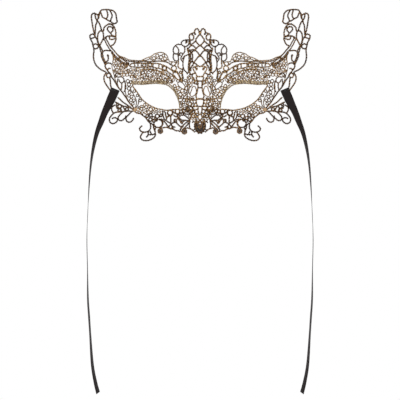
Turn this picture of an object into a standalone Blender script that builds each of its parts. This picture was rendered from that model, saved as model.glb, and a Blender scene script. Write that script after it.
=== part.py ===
"""Venetian lace masquerade mask with two satin tie ribbons.

The lace is one embroidered cord fabric. It is modelled motif by motif: each motif is one closed
solid, and neighbouring motifs lie in different layers of the fabric where their cords cross.
The mask stands upright: +Z is up, the front faces -Y and the back lies on the plane y = 0.
The origin is the middle of the bridge bar's back face. Motifs are drawn as (out, up) in
millimetres, out from the centre line and up from the eye line, and mirrored to the left.
"""
import math

import bmesh
import bpy
from mathutils import Matrix, Vector

MM = 0.001
EYE_LINE = 2.0          # height of the eye line above the bridge bar's middle
CORD_WIDTH = 1.1
CORD_THICK = 0.6
PLATE_THICK = 0.5
LAYER_STEP = 0.8
THREAD_WIDTH = 0.6
CURVE_STEPS = 1         # straight steps between two points of a cord
FOLD_LINE = 11.5        # the sides fold back about upright lines this far out
RIBBON_WIDTH = 9.5
RIBBON_THICK = 0.4
RIBBON_DEPTH = 2.75     # the ribbon's middle lies this far in front of the back plane
SEAM_TOP = (85.2, 7.0)
SEAM_LENGTH = 8.6
SEAM_DIRECTION = (0.37, -0.929)
FOLD_GAP = 0.3
BUD_RADIUS = 2.6
BUD_THICK = 1.9
MERGE_DISTANCE = 0.005
# A motif is drawn in x and y and stood up, so that its own z becomes the depth.
STAND_UP = Matrix.Rotation(math.radians(90), 4, "X")

DARK_CORD = {"colour": "#3b3029", "roughness": 0.7}
GOLD_CORD = {"colour": "#9c7c50", "roughness": 0.5}
TAN_CORD = {"colour": "#c2a478", "roughness": 0.6}
BROWN_SATIN_STITCH = {"colour": "#33261d", "roughness": 0.45}
BLACK_SATIN = {"colour": "#2b292a", "roughness": 0.35}
BLACK_THREAD = {"colour": "#191818", "roughness": 0.6}


def clear_scene():
    for item in list(bpy.data.objects):
        bpy.data.objects.remove(item, do_unlink=True)


def make_collection(name):
    collection = bpy.data.collections.new(name)
    bpy.context.scene.collection.children.link(collection)
    return collection


def linear_from_hex(code):
    values = [int(code[i:i + 2], 16) / 255 for i in (1, 3, 5)]
    return [v / 12.92 if v <= 0.04045 else ((v + 0.055) / 1.055) ** 2.4 for v in values]


def make_material(name, finish):
    material = bpy.data.materials.new(name)
    material.use_nodes = True
    shader = material.node_tree.nodes["Principled BSDF"]
    colour = (*linear_from_hex(finish["colour"]), 1.0)
    shader.inputs["Base Color"].default_value = colour
    shader.inputs["Roughness"].default_value = finish["roughness"]
    shader.inputs["Metallic"].default_value = 0.0
    material.diffuse_color = colour
    return material


def solid_from_curve(curve, flatten=1.0):
    """The curve as a mesh object, welded and stood up; flatten scales it through the fabric."""
    guide = bpy.data.objects.new("guide", curve)
    bpy.context.scene.collection.objects.link(guide)
    evaluated = guide.evaluated_get(bpy.context.evaluated_depsgraph_get())
    mesh = bpy.data.meshes.new_from_object(evaluated)
    mesh.transform(STAND_UP @ Matrix.Scale(flatten, 4, (0, 0, 1)))
    clean_mesh(mesh)
    bpy.data.objects.remove(guide, do_unlink=True)
    bpy.data.curves.remove(curve)
    return object_from_mesh(mesh)


def clean_mesh(mesh):
    bm = bmesh.new()
    bm.from_mesh(mesh)
    bmesh.ops.remove_doubles(bm, verts=bm.verts, dist=MERGE_DISTANCE * MM)
    bmesh.ops.dissolve_degenerate(bm, edges=bm.edges, dist=MERGE_DISTANCE * MM)
    bmesh.ops.recalc_face_normals(bm, faces=bm.faces)
    bm.to_mesh(mesh)
    bm.free()
    mesh.materials.clear()


def object_from_mesh(mesh):
    item = bpy.data.objects.new("piece", mesh)
    bpy.context.scene.collection.objects.link(item)
    return item


def add_loop(curve, points, closed, tilts=None):
    """Adds a smooth line through the points, given in millimetres."""
    spline = curve.splines.new("BEZIER")
    spline.bezier_points.add(len(points) - 1)
    spline.use_cyclic_u = closed
    spline.tilt_interpolation = "LINEAR"
    for i, point in enumerate(points):
        knot = spline.bezier_points[i]
        knot.co = Vector((*point, 0.0)) * MM
        knot.handle_left_type = "AUTO"
        knot.handle_right_type = "AUTO"
        if tilts:
            knot.tilt = tilts[i]


def new_curve(dimensions, steps):
    curve = bpy.data.curves.new("line", "CURVE")
    curve.dimensions = dimensions
    curve.resolution_u = steps
    return curve


def cord(points, width=CORD_WIDTH, closed=False, steps=CURVE_STEPS):
    """An embroidered cord through the points: a flattened tube with filled ends."""
    curve = new_curve("3D", steps)
    curve.twist_mode = "Z_UP"
    curve.bevel_depth = width / 2 * MM
    curve.bevel_resolution = 0
    curve.use_fill_caps = True
    add_loop(curve, points, closed)
    return solid_from_curve(curve, CORD_THICK / width)


def ellipse(out, up, half_wide, half_high, count=6):
    turns = [2 * math.pi * i / count for i in range(count)]
    return [(out + half_wide * math.cos(a), up + half_high * math.sin(a)) for a in turns]


def ring(out, up, radius, width=CORD_WIDTH):
    return cord(ellipse(out, up, radius, radius, 5), width, closed=True)


def plate(outline, windows=(), thick=PLATE_THICK, edge=0.0, steps=1):
    """A flat piece of close embroidery with the windows left open in it."""
    curve = new_curve("2D", steps)
    curve.fill_mode = "BOTH"
    curve.extrude = (thick / 2 - edge) * MM
    curve.bevel_depth = edge * MM
    curve.bevel_resolution = 0
    add_loop(curve, outline, True)
    for window in windows:
        add_loop(curve, ellipse(*window), True)
    return solid_from_curve(curve)


def mirrored(points):
    return [(-out, up) for out, up in points]


def whole_outline(half):
    """A closed outline from its right half, listed from the top of the centre line to its foot."""
    return half + mirrored(half[-2:0:-1])


def both_ways(points):
    return [cord(points), cord(mirrored(points))]


def joined(pieces):
    """One closed solid from cords that cross in one plane; the exact solver leaves open seams there."""
    if len(pieces) == 1:
        return pieces[0].data
    base = pieces[0]
    for tool in pieces[1:]:
        union = base.modifiers.new("union", "BOOLEAN")
        union.operation = "UNION"
        union.solver = "MANIFOLD"
        union.object = tool
    evaluated = base.evaluated_get(bpy.context.evaluated_depsgraph_get())
    mesh = bpy.data.meshes.new_from_object(evaluated)
    mesh.materials.clear()
    for piece in pieces:
        bpy.data.objects.remove(piece, do_unlink=True)
    return mesh


def place(name, mesh, finish, pivot, depth):
    """Names the solid and puts its origin on its joint's axis, in the model's own frame."""
    pivot_place = Vector((pivot[0], pivot[1], pivot[2] + EYE_LINE)) * MM
    mesh.transform(Matrix.Translation(Vector((0, -depth, EYE_LINE)) * MM - pivot_place))
    mesh.name = name
    mesh.materials.append(make_material(name, finish))
    item = bpy.data.objects.new(name, mesh)
    item.location = pivot_place
    mask.objects.link(item)
    return item


def mirror_mesh(mesh):
    twin = mesh.copy()
    twin.transform(Matrix.Scale(-1, 4, (1, 0, 0)))
    twin.flip_normals()
    return twin


def layer_depth(layer):
    return layer * LAYER_STEP + CORD_THICK / 2


def drop_guides():
    """Removes the loose objects that the motif's solid was made from."""
    for guide in list(bpy.context.scene.collection.objects):
        bpy.data.objects.remove(guide, do_unlink=True)


def centre_motif(name, pieces, finish, layer):
    place(name, joined(pieces), finish, (0.0, 0.0, -EYE_LINE), layer_depth(layer))
    drop_guides()


def side_motif(name, pieces, finish, depth, pivot=(FOLD_LINE, 0.0, -EYE_LINE)):
    """Places a motif on the right side and its twin on the left side."""
    mesh = joined(pieces)
    twin = mirror_mesh(mesh)
    left_pivot = (-pivot[0], pivot[1], pivot[2])
    place(name + "_right", mesh, finish, pivot, depth)
    place(name + "_left", twin, finish, left_pivot, depth)
    drop_guides()


def build_crest():
    """The pointed ornament over the nose: finial, small scrolls and the lattice below them."""
    finial = both_ways([(0, 62.2), (1.5, 64.6), (1.5, 66.8), (3.3, 68.2), (5.4, 65.5), (4.6, 61.4), (2.4, 60)])
    finial.append(cord([(0, 62.3), (-3.6, 58), (-3.4, 54.6), (0, 51.5), (3.4, 54.6), (3.6, 58)], closed=True))
    finial.append(cord([(-1.6, 64.8), (1.6, 64.8)], width=2.4))
    centre_motif("crest_finial", finial, DARK_CORD, 0)

    lattice = both_ways([(10.5, 50.6), (10.6, 42.5), (10.3, 34), (10.5, 25), (9.6, 21.2)])
    lattice += both_ways([(10.5, 50.4), (7.5, 50.4), (5.2, 47), (5.5, 45.4)])
    lattice += both_ways([(10.6, 46.4), (5.4, 45.6)])
    lattice += both_ways([(9.2, 44.5), (7.6, 39.5), (7.8, 35.8), (10.3, 34.8)])
    lattice += both_ways([(4.4, 35.6), (7.8, 35.8)])
    lattice += both_ways([(5.8, 24.7), (10.5, 25)])
    for top, side, half_wide, foot in [(51, 47, 5, 42.3), (41.8, 35.5, 4.7, 30.2), (30.4, 24.7, 6, 21)]:
        corners = [(0, top), (half_wide, side), (0, foot), (-half_wide, side)]
        lattice.append(cord(corners, closed=True))
    centre_motif("crest_lattice", lattice, GOLD_CORD, 1)

    small_scroll = [cord([(5, 62.2), (7.4, 63.8), (10.3, 60.8), (9.8, 57.4), (7.4, 57), (6.6, 59.6), (7.8, 61.4)])]
    small_scroll.append(cord([(9.8, 57.4), (9.2, 54), (9.8, 51)]))
    mesh = joined(small_scroll)
    place("crest_small_scroll_left", mirror_mesh(mesh), DARK_CORD, (0, 0, -EYE_LINE), layer_depth(2))
    place("crest_small_scroll_right", mesh, DARK_CORD, (0, 0, -EYE_LINE), layer_depth(2))


def build_nose():
    """The ladder down the nose with its flat bridge bar, the frill below it and the rosette."""
    outline = whole_outline([(0, 21.6), (5.5, 21.2), (10.6, 19.6), (10.9, 5), (10.9, -10), (10.6, -21.6),
                             (5.5, -24), (0, -25.6)])
    windows = [(0, 18, 2.2, 1.3), (0, 12.4, 1.5, 2.2), (0, 4.2, 2.4, 3.4), (0, -5.9, 2.4, 2.1)]
    windows += [(0, -13.3, 1.2, 2.6), (0, -20.6, 1.4, 1.6)]
    side_windows = [(7, 6, 1.9, 3.6), (6.6, 14.6, 1.7, 2), (7.8, -1.8, 1.4, 1.6), (6.8, -7.6, 1.7, 2)]
    side_windows += [(7, -13.4, 2, 1.9), (6.2, -19, 1.9, 1.8)]
    windows += side_windows + [(-out, up, wide, high) for out, up, wide, high in side_windows]
    ladder = plate(outline, windows)
    place("nose_ladder", ladder.data, GOLD_CORD, (0, 0, -EYE_LINE), PLATE_THICK / 2)

    frill = [cord([(-10.6, -22.8), (-5, -24.6), (0, -24.9), (5, -24.6), (10.6, -22.8)])]
    frill += both_ways([(10.5, -23), (10.4, -27), (10.1, -31.6)])
    frill += both_ways([(10.6, -31.6), (8, -33), (6.4, -34.4)])
    frill += both_ways([(5, -24.6), (7, -27.6), (10.2, -29)])
    centre_motif("nose_frill", frill, DARK_CORD, 1)

    heart = whole_outline([(0, -27.6), (2.4, -26.5), (4.7, -28.4), (4.6, -31.8), (2.6, -34.8), (0, -36.6)])
    place("nose_rosette", plate(heart, thick=BUD_THICK, edge=0.6).data, BROWN_SATIN_STITCH,
          (0, 0, -EYE_LINE), BUD_THICK / 2)
    drop_guides()


def build_horn():
    """The curled horn at the upper outer corner: cap, neck, inner curl and the outer arm."""
    cap = [cord([(101.5, 78), (99.8, 85.4), (95, 87.3), (88, 86.6), (83.9, 82), (83, 76), (86, 73.3), (89.3, 75.5)])]
    cap.append(cord([(99.6, 85), (97.4, 80), (92.5, 77), (89.3, 75.5)]))
    cap.append(cord([(93.5, 87.3), (92.1, 82), (93.8, 77.6)]))
    cap.append(cord([(90.5, 87), (88, 82), (89.3, 75.5)]))
    side_motif("horn_cap", cap, DARK_CORD, layer_depth(1))

    neck = [cord([(89.3, 74), (93.8, 71.8), (96.3, 68), (96.8, 60), (98.6, 54.4), (100, 51.8)])]
    neck.append(cord([(96.4, 66.3), (100.5, 65.3), (102.4, 60), (101.2, 54), (100, 51.8)]))
    side_motif("horn_neck", neck, DARK_CORD, layer_depth(0))

    curl = [cord([(86.6, 70.5), (84.4, 65.5), (84.1, 60), (84.8, 55), (88.8, 51.4)])]
    curl.append(cord([(86.6, 70.5), (90.5, 70.3), (92.5, 67.4), (89, 63.6), (84.6, 60.4)]))
    curl.append(cord([(86.6, 70.5), (87, 66.5), (89, 63.6)]))
    curl.append(cord([(94.2, 59.6), (92, 60.9), (88, 60.7), (84.2, 60.2)]))
    curl.append(cord([(90.6, 60.9), (90.2, 58), (87.5, 57.3), (84.4, 58)]))
    side_motif("horn_curl", curl, DARK_CORD, layer_depth(2))

    arm = [cord([(102, 55), (105.6, 63), (106.6, 68), (108, 76), (108, 82.4), (104.6, 83.4), (101.5, 82.4),
                 (99.8, 84.8)])]
    arm.append(cord([(105.6, 83.4), (104, 78.4), (101.2, 74.7), (99, 68.5), (97.5, 66)]))
    arm.append(cord([(101.8, 82.4), (102.3, 77.5), (104, 72.3), (105.4, 62.8)]))
    side_motif("arm_loop", arm, DARK_CORD, layer_depth(2))


def build_wing():
    """The long sickle and the trunk with its curls, down the outer edge to the ribbon."""
    sickle = [cord([(105.3, 60.6), (107.2, 62.8), (110, 61), (109, 57), (107, 51.5), (106, 46), (106.3, 39),
                    (105, 33.8), (100, 28), (94.8, 25.4), (93.7, 22.8)])]
    sickle.append(cord([(109.6, 58.2), (105.3, 60.6)]))
    sickle.append(cord([(106.8, 51.7), (103.7, 53), (101.4, 50.6), (103.5, 48.3), (106.2, 48.7)], closed=True))
    side_motif("outer_sickle", sickle, DARK_CORD, layer_depth(1))

    trunk = [cord([(100.4, 50.2), (98.7, 43), (96.5, 36), (94.6, 30), (90.3, 24), (86.8, 18), (82.3, 10.5),
                   (78.6, 6), (74.4, 0.6)], width=1.5)]
    trunk.append(cord([(98.4, 43.6), (94.5, 46.4), (89.2, 46)]))
    trunk.append(cord([(96.3, 35.3), (92.8, 35.5), (91.6, 38.5), (92.4, 41)]))
    trunk.append(cord([(94.9, 31.6), (91.5, 34), (87.8, 32.6)]))
    trunk.append(cord([(94.4, 29.2), (92.3, 27.5), (89.6, 28.6)]))
    trunk.append(ring(91, 21.4, 2.2))
    trunk.append(cord([(93, 22.4), (96, 19.5), (94.3, 13), (89.8, 6.2)]))
    trunk.append(cord([(90.4, 19.4), (89.5, 13), (87.6, 7)]))
    side_motif("wing_trunk", trunk, DARK_CORD, layer_depth(2))

    bundle = [cord([(96.4, 58.4), (93.5, 53), (89, 46.3), (85, 41.5), (78, 35.2), (73, 32)])]
    bundle.append(cord([(94.4, 59), (90.3, 51.5), (84.5, 44), (78, 38), (72.6, 34.4)]))
    bundle.append(ring(72.5, 33, 1.5))
    side_motif("stem_bundle", bundle, DARK_CORD, layer_depth(1))


def build_brow():
    """The arched brow: its scalloped top edge, the ladder, the close mesh and the temple panel."""
    bump = [cord([(89.2, 51), (85, 45), (80, 40.9), (75, 39.1), (69, 36.9), (61, 36.2), (52, 39.5), (44.5, 43.5),
                  (38.5, 44.5), (34, 42.5), (31, 36.8), (27, 35.2), (23.2, 34)])]
    bump.append(cord([(58.5, 36.4), (50, 38), (45, 36.3), (38, 36.6), (31, 37)]))
    bump += [ring(42, 41.6, 2), ring(39.2, 38.7, 1.9), ring(46.4, 38.6, 1.9), ring(34.8, 38.6, 1.8)]
    side_motif("brow_bump", bump, GOLD_CORD, layer_depth(0))

    ladder = [cord([(67, 31.4), (64.5, 33.3), (57, 33.8), (50, 34.2), (42, 33.6), (35.5, 31.3), (30.5, 28.3),
                    (24.4, 24)])]
    ladder.append(cord([(67, 31.4), (62, 29.6), (54, 29.6), (47, 29.8), (41, 28.4), (37, 26.2), (31.5, 24.6),
                        (26.6, 21), (23.2, 18.2)]))
    for top, foot in [((62, 33.6), (62, 29.6)), ((58.6, 33.7), (58.6, 29.6)), ((52.8, 34), (52.8, 29.6)),
                      ((47, 34), (47, 29.8)), ((38, 32.3), (37.6, 26.6)), ((33.3, 29.9), (33.5, 25.4)),
                      ((26.8, 25.6), (27, 21.4))]:
        ladder.append(cord([top, foot], steps=1))
    side_motif("brow_ladder", ladder, GOLD_CORD, layer_depth(1))

    outline = [(71, 22), (70.4, 28), (64, 28.2), (56, 28), (48, 27.8), (41, 26.8), (36.5, 24.4), (31.5, 22.4),
               (28, 19.4), (27.4, 14.8), (31.5, 15.2), (37, 16.4), (44, 16.8), (54, 16.2), (63, 16), (69, 16.8)]
    windows = [(67 - 5.4 * i, 24.7 - 0.2 * i, 1.8, 1.5) for i in range(6)]
    windows += [(66 - 5.4 * i, 19.8 - 0.1 * i, 1.9, 1.5) for i in range(7)]
    side_motif("brow_mesh", [plate(outline, windows)], GOLD_CORD, PLATE_THICK / 2)

    outline = [(86.8, 41.2), (87.2, 36), (88.2, 31), (87, 26), (85.6, 20), (83.5, 13), (80.5, 8), (77.6, 7),
               (76, 11), (75, 16), (73.6, 22), (73.4, 29), (75.4, 34), (79, 36.8), (83, 39.8)]
    windows = [(84.5, 36.6, 1.5, 2.1), (80.6, 33.6, 1.7, 1.5), (84.5, 31.2, 1.7, 1.8), (79.9, 29, 1.9, 1.7)]
    windows += [(76.3, 31.2, 1.1, 1.4), (83.6, 25.4, 1.6, 1.9), (79.3, 24, 1.7, 1.9), (75.9, 25.8, 1, 1.6)]
    windows += [(78.8, 17.2, 1.7, 2.6), (82.5, 18.6, 1, 1.7), (79.3, 11.4, 1.2, 1.7)]
    side_motif("temple_panel", [plate(outline, windows)], GOLD_CORD, PLATE_THICK / 2)


def build_eye():
    """The rims around the eye opening and the close mesh on both sides of it."""
    outline = [(68, 13.8), (66, 15.3), (58, 15.4), (50, 15.8), (43, 16.3), (37, 15.6), (32, 13.4), (28, 10.2),
               (24.6, 5.6), (22, 0), (20.2, -6), (19.6, -11.6), (20.7, -11.6), (21.1, -7), (22.9, -1),
               (25.6, 4.3), (29, 8.5), (33, 11.5), (37, 12.9), (43, 13.2), (52, 12.6), (60, 12.1), (66.5, 12)]
    side_motif("upper_eye_rim", [plate(outline)], TAN_CORD, 2 * LAYER_STEP + PLATE_THICK / 2)

    rim = cord([(67, 10.4), (64.9, 7.6), (61.5, 2.6), (58.4, -2), (54.3, -5.6), (50.2, -8.4), (44.2, -11.3),
                (38, -12.7), (32, -13.3), (26, -12.7), (20.8, -12.3)], width=1.3)
    side_motif("lower_eye_rim", [rim], DARK_CORD, layer_depth(0))

    outline = [(72.8, 16), (74.6, 12), (74.8, 6), (73.4, 0.5), (71.8, -4.5), (68.8, -9), (65.4, -11.4),
               (61.5, -9.6), (58.8, -5.4), (60.8, -1.2), (63.4, 3), (66.4, 7.4), (67.8, 11), (68.4, 14.4)]
    windows = [(71, 8.5, 1.4, 1.5), (70.7, 13, 1.2, 1.2), (68.9, 4.6, 1.3, 1.2), (71.5, 2.2, 0.9, 1.4)]
    windows += [(66.7, 0.9, 1.3, 1.5), (69.3, -2.3, 1.3, 1.5), (64.7, -3.8, 1.5, 1.5), (67.1, -6.9, 1.2, 1.1)]
    windows += [(61.9, -6.3, 1.2, 1.1)]
    side_motif("temple_column", [plate(outline, windows)], DARK_CORD, LAYER_STEP + PLATE_THICK / 2)

    outline = [(12.3, 18.6), (12.2, 8), (12.2, -2), (12.4, -14), (19, -13.8), (19.7, -7), (21.5, -1), (24.2, 4.8),
               (26.8, 8.4), (25.6, 11.5), (22.6, 15), (19.5, 18), (15.4, 19.6)]
    windows = [(15.8, -11, 1.7, 1.5), (16.6, -6.6, 1.6, 1.4), (15.3, -2.2, 1.4, 1.4), (18.8, -1.8, 1.1, 1.3)]
    windows += [(15.5, 2.5, 1.5, 1.5), (20.1, 3, 1.4, 1.6), (15.1, 7.4, 1.4, 1.6), (20.6, 7.7, 1.7, 1.2)]
    windows += [(19, 12.6, 2.3, 2.3), (24, 9, 1.1, 1.1), (14.7, 14.4, 1.1, 1.5)]
    side_motif("inner_mesh", [plate(outline, windows)], DARK_CORD, LAYER_STEP + PLATE_THICK / 2)


def build_cheek():
    """The lower lace under the eye, its curl and the two stitched buds at the lower edge."""
    outline = [(63.5, -13), (60.4, -9.8), (56.4, -6), (51, -9.2), (45, -12.1), (38, -13.6), (31, -14.2),
               (24, -14), (18, -16), (12.3, -16.6), (12.1, -22), (12.1, -30.8), (15.4, -31.3), (18, -32.2),
               (19.2, -34.6), (24, -34.2), (28.6, -33), (31.5, -31.4), (36.4, -31), (39, -29.6), (37.6, -26),
               (40, -22.8), (46.5, -22.6), (50.6, -24.6), (54, -21.2), (58, -18), (62, -16.4)]
    windows = [(59.3, -13.4, 1.6, 1.6), (55.8, -9.8, 1.5, 1.3), (54.6, -14.8, 1.8, 1.8), (50.4, -12.6, 1.6, 1.4)]
    windows += [(50.6, -18.4, 1.8, 1.7), (46.2, -15.6, 1.6, 1.5), (46, -19.9, 1.3, 1.2), (41.7, -16.3, 1.4, 1.1)]
    windows += [(41.4, -19.7, 1.5, 1.1), (37.2, -17, 1.4, 1.3), (33.5, -17.2, 1, 1.4), (29.4, -17.6, 1.9, 1.9)]
    windows += [(24.6, -19.4, 1.7, 2.3), (20.4, -19.9, 1.2, 1.3), (15.8, -20.6, 2.2, 1.5), (21, -25.4, 2.2, 1.6)]
    windows += [(25.8, -29.6, 1.9, 1.8), (34.4, -22.6, 1.4, 2.4), (35.6, -27.8, 1.1, 1.5), (30.2, -24, 1.4, 2.4)]
    windows += [(31.3, -29, 1.3, 0.9), (15.2, -26.6, 1.5, 1.6), (20.4, -30.2, 1.5, 1.2)]
    side_motif("cheek_mesh", [plate(outline, windows)], DARK_CORD, 2 * LAYER_STEP + PLATE_THICK / 2)

    curl = [cord([(65.6, -14.2), (60, -17), (54.5, -20.9), (50, -26), (47, -27.8), (45.2, -29.4)])]
    curl.append(cord([(57.6, -28.8), (60.2, -31.4), (59.2, -34.2), (55, -35.2), (51, -33.8), (49.3, -30.4),
                      (50, -26)]))
    curl.append(cord([(56.2, -35), (59.4, -39.4), (57.6, -43), (52, -43.6), (46.5, -41), (44.6, -37),
                      (44.6, -30.2)]))
    curl.append(cord([(53.9, -43.4), (53.6, -40.5), (51.8, -37.8), (51.3, -34)]))
    curl.append(cord([(51.8, -37.8), (48, -37.6), (44.8, -36.6)]))
    curl.append(ring(42.2, -27, 3.9))
    side_motif("cheek_curl", curl, DARK_CORD, layer_depth(1))

    for name, out, up in [("bud_outer", 39.7, -34.3), ("bud_inner", 15.6, -34.8)]:
        disc = ellipse(out, up, BUD_RADIUS, BUD_RADIUS, 10)
        side_motif(name, [plate(disc, thick=BUD_THICK, edge=0.6)], BROWN_SATIN_STITCH, BUD_THICK / 2)


def build_fan():
    """The fan of cords outside the cheek and the three tendrils that hang from it."""
    rays = [cord([(82.3, -0.3), (77.5, -4.8), (72, -8.6), (65.4, -12.8)])]
    rays.append(cord([(74, -0.3), (71, -5.4), (65.4, -12.4)]))
    rays.append(cord([(84.6, -5.2), (79, -8), (72, -10.4), (65.4, -13)]))
    rays.append(cord([(84, -15.4), (76, -14.6), (65.4, -13.4)]))
    rays += [ring(80.3, -9.8, 1.9), ring(80.4, -13.3, 1.7), ring(76, -12.8, 1.7)]
    rays.append(cord([(66.6, -12.9), (63.8, -13.2)], width=2.8, steps=1))
    side_motif("fan_rays", rays, TAN_CORD, layer_depth(0))

    tendrils = [cord([(84, -15.6), (76, -15), (67.8, -15)])]
    tendrils.append(cord([(83.6, -15.4), (88.6, -18.6), (90.2, -22.6), (88, -26.2), (83.6, -25.2), (82.6, -22),
                          (85.2, -20.8), (87.6, -21.8)]))
    tendrils.append(cord([(77, -15), (81.6, -20), (80.8, -23.2), (77, -23), (74.4, -20.4), (74.8, -18.4)]))
    tendrils.append(cord([(68.5, -15), (72, -19), (73.2, -23.2), (71, -25.3), (67.6, -23.6), (66.6, -20.8)]))
    side_motif("tendrils", tendrils, DARK_CORD, layer_depth(1))


def build_shoulders():
    """The scrolls beside the crest and the feather that joins them to the brow."""
    shoulder = [cord([(12.5, 56.9), (16, 56.6), (18.4, 53.4), (16.4, 50.4), (12.5, 51)])]
    shoulder.append(cord([(18.2, 52.6), (21.5, 52.8), (25.4, 50.4), (26.8, 46), (26.5, 40), (24.3, 36),
                          (21.6, 36.8), (21.9, 41.6), (26.6, 43.4)]))
    shoulder.append(cord([(24.6, 51), (21.5, 46.5), (24, 42.8)]))
    shoulder.append(cord([(18.2, 52.2), (15.8, 49.4), (15.3, 45.5), (16.8, 42.2)]))
    shoulder.append(cord([(21.9, 42.4), (18.3, 44), (16.7, 42), (18.6, 37.6), (17.5, 31), (16.3, 25.5),
                          (16.4, 22.6)]))
    side_motif("crest_shoulder", shoulder, DARK_CORD, layer_depth(1))

    feather = [cord([(18.8, 17), (20.2, 20), (22, 23.2), (26.2, 26.2)])]
    feather.append(cord([(26.3, 22), (22.6, 17.6), (18.6, 17)]))
    feather.append(ring(26, 28.6, 2.7))
    feather.append(cord([(21.7, 37), (21.9, 32.2), (23.6, 29)]))
    feather.append(cord([(22, 32), (19.4, 28.6), (16.8, 28.4)]))
    side_motif("feather", feather, GOLD_CORD, layer_depth(2))


def seam_point(along, across=0.0):
    """A point (out, up) along the ribbon's sewn end, and across it towards the outer edge."""
    down = Vector(SEAM_DIRECTION)
    outward = Vector((-SEAM_DIRECTION[1], SEAM_DIRECTION[0]))
    return tuple(Vector(SEAM_TOP) + down * along + outward * across)


def build_ribbons():
    """Each satin ribbon: the end sewn on the lace, its row of stitches and the hanging length."""
    half = RIBBON_WIDTH / 2
    last = SEAM_LENGTH - FOLD_GAP
    sewn = [seam_point(0, -half), seam_point(0, half), seam_point(last, half), seam_point(last, -half)]
    side_motif("ribbon_end", [flat_strip(sewn)], BLACK_SATIN, RIBBON_DEPTH)

    rows = [(1.2, -3.6), (2.4, -2.4), (1.2, -1.2), (2.4, 0), (1.2, 1.2), (2.4, 2.4), (1.2, 3.6)]
    stitches = cord([seam_point(along, across) for along, across in rows], width=THREAD_WIDTH)
    side_motif("ribbon_tack", [stitches], BLACK_THREAD, RIBBON_DEPTH + LAYER_STEP)

    # Each entry is the route's (out, up) and the turn, in degrees, from facing the front.
    hinge = seam_point(SEAM_LENGTH)
    route = [(hinge, 17), ((90.7, -5.4), 27), ((94.8, -15), 40), ((98.7, -25), 55), ((102.9, -36), 66),
             ((106.3, -50), 75), ((108.8, -66), 81), ((110.4, -87), 86), ((112.2, -115), 88),
             ((113, -142), 89), ((112.5, -172), 87), ((112, -201), 82), ((109.6, -237), 80),
             ((107.5, -267), 77), ((104.2, -285), 72), ((101.4, -296), 69)]
    ribbon = hanging_strip([point for point, turn in route], [math.radians(turn) for point, turn in route])
    side_motif("ribbon", [ribbon], BLACK_SATIN, RIBBON_DEPTH, (hinge[0], -RIBBON_DEPTH, hinge[1]))


def flat_strip(corners):
    curve = new_curve("2D", 1)
    curve.fill_mode = "BOTH"
    curve.extrude = RIBBON_THICK / 2 * MM
    spline = curve.splines.new("POLY")
    spline.points.add(len(corners) - 1)
    spline.use_cyclic_u = True
    for knot, corner in zip(spline.points, corners):
        knot.co = (*(value * MM for value in corner), 0.0, 1.0)
    return solid_from_curve(curve)


def hanging_strip(points, turns):
    """A flat strip along the points, turned about its own line; its thickness is the bevel."""
    curve = new_curve("3D", 2)
    curve.twist_mode = "Z_UP"
    curve.extrude = (RIBBON_WIDTH / 2 - RIBBON_THICK / 2) * MM
    curve.bevel_depth = RIBBON_THICK / 2 * MM
    curve.bevel_resolution = 0
    curve.use_fill_caps = True
    quarter = math.pi / 2
    add_loop(curve, points, False, [quarter - turn for turn in turns])
    return solid_from_curve(curve)


clear_scene()
mask = make_collection("venetian_lace_mask")
build_crest()
build_nose()
build_horn()
build_wing()
build_brow()
build_eye()
build_cheek()
build_fan()
build_shoulders()
build_ribbons()
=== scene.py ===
import math
import random

import bmesh
import bpy
from mathutils import Matrix, Vector


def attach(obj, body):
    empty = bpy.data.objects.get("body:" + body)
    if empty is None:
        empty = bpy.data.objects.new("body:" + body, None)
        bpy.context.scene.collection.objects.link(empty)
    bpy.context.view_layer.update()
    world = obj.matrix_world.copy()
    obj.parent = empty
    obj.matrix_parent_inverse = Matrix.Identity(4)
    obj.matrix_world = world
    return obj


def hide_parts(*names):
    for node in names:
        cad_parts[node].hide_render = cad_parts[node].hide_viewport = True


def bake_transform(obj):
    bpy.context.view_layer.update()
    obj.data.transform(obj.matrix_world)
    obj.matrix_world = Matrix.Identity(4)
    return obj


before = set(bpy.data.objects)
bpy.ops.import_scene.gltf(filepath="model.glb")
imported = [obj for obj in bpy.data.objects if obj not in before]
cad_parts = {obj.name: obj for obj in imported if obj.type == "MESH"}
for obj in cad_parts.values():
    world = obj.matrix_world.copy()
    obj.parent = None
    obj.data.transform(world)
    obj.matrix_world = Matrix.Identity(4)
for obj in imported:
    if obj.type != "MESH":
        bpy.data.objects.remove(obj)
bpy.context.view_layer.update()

# Lengths are millimetres. Motifs are drawn as (out, up): out from the centre line, up from the eye line.
mm = 0.001
eyeLine = 2.0       # the eye line is this far above the origin, which is the bridge bar's middle
sides = {"left": -1, "right": 1}


def toLinear(code, alpha=1.0):
    parts = [int(code[i:i + 2], 16) / 255 for i in (1, 3, 5)]
    return [c / 12.92 if c <= 0.04045 else ((c + 0.055) / 1.055) ** 2.4 for c in parts] + [alpha]


def addNode(material, kind, settings, links):
    # settings: attributes by name and socket values by index or name; links: input -> (node, output)
    node = material.node_tree.nodes.new(kind)
    for key, value in settings.items():
        if isinstance(key, str) and hasattr(node, key):
            setattr(node, key, value)
        else:
            node.inputs[key].default_value = value
    for key, (source, output) in links.items():
        material.node_tree.links.new(source.outputs[output], node.inputs[key])
    return node


def newMaterial(name):
    material = bpy.data.materials.new(name)
    material.use_nodes = True
    return material, material.node_tree.nodes["Principled BSDF"]


def setSockets(shader, values):
    for key, value in values.items():
        shader.inputs[key].default_value = value


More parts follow.
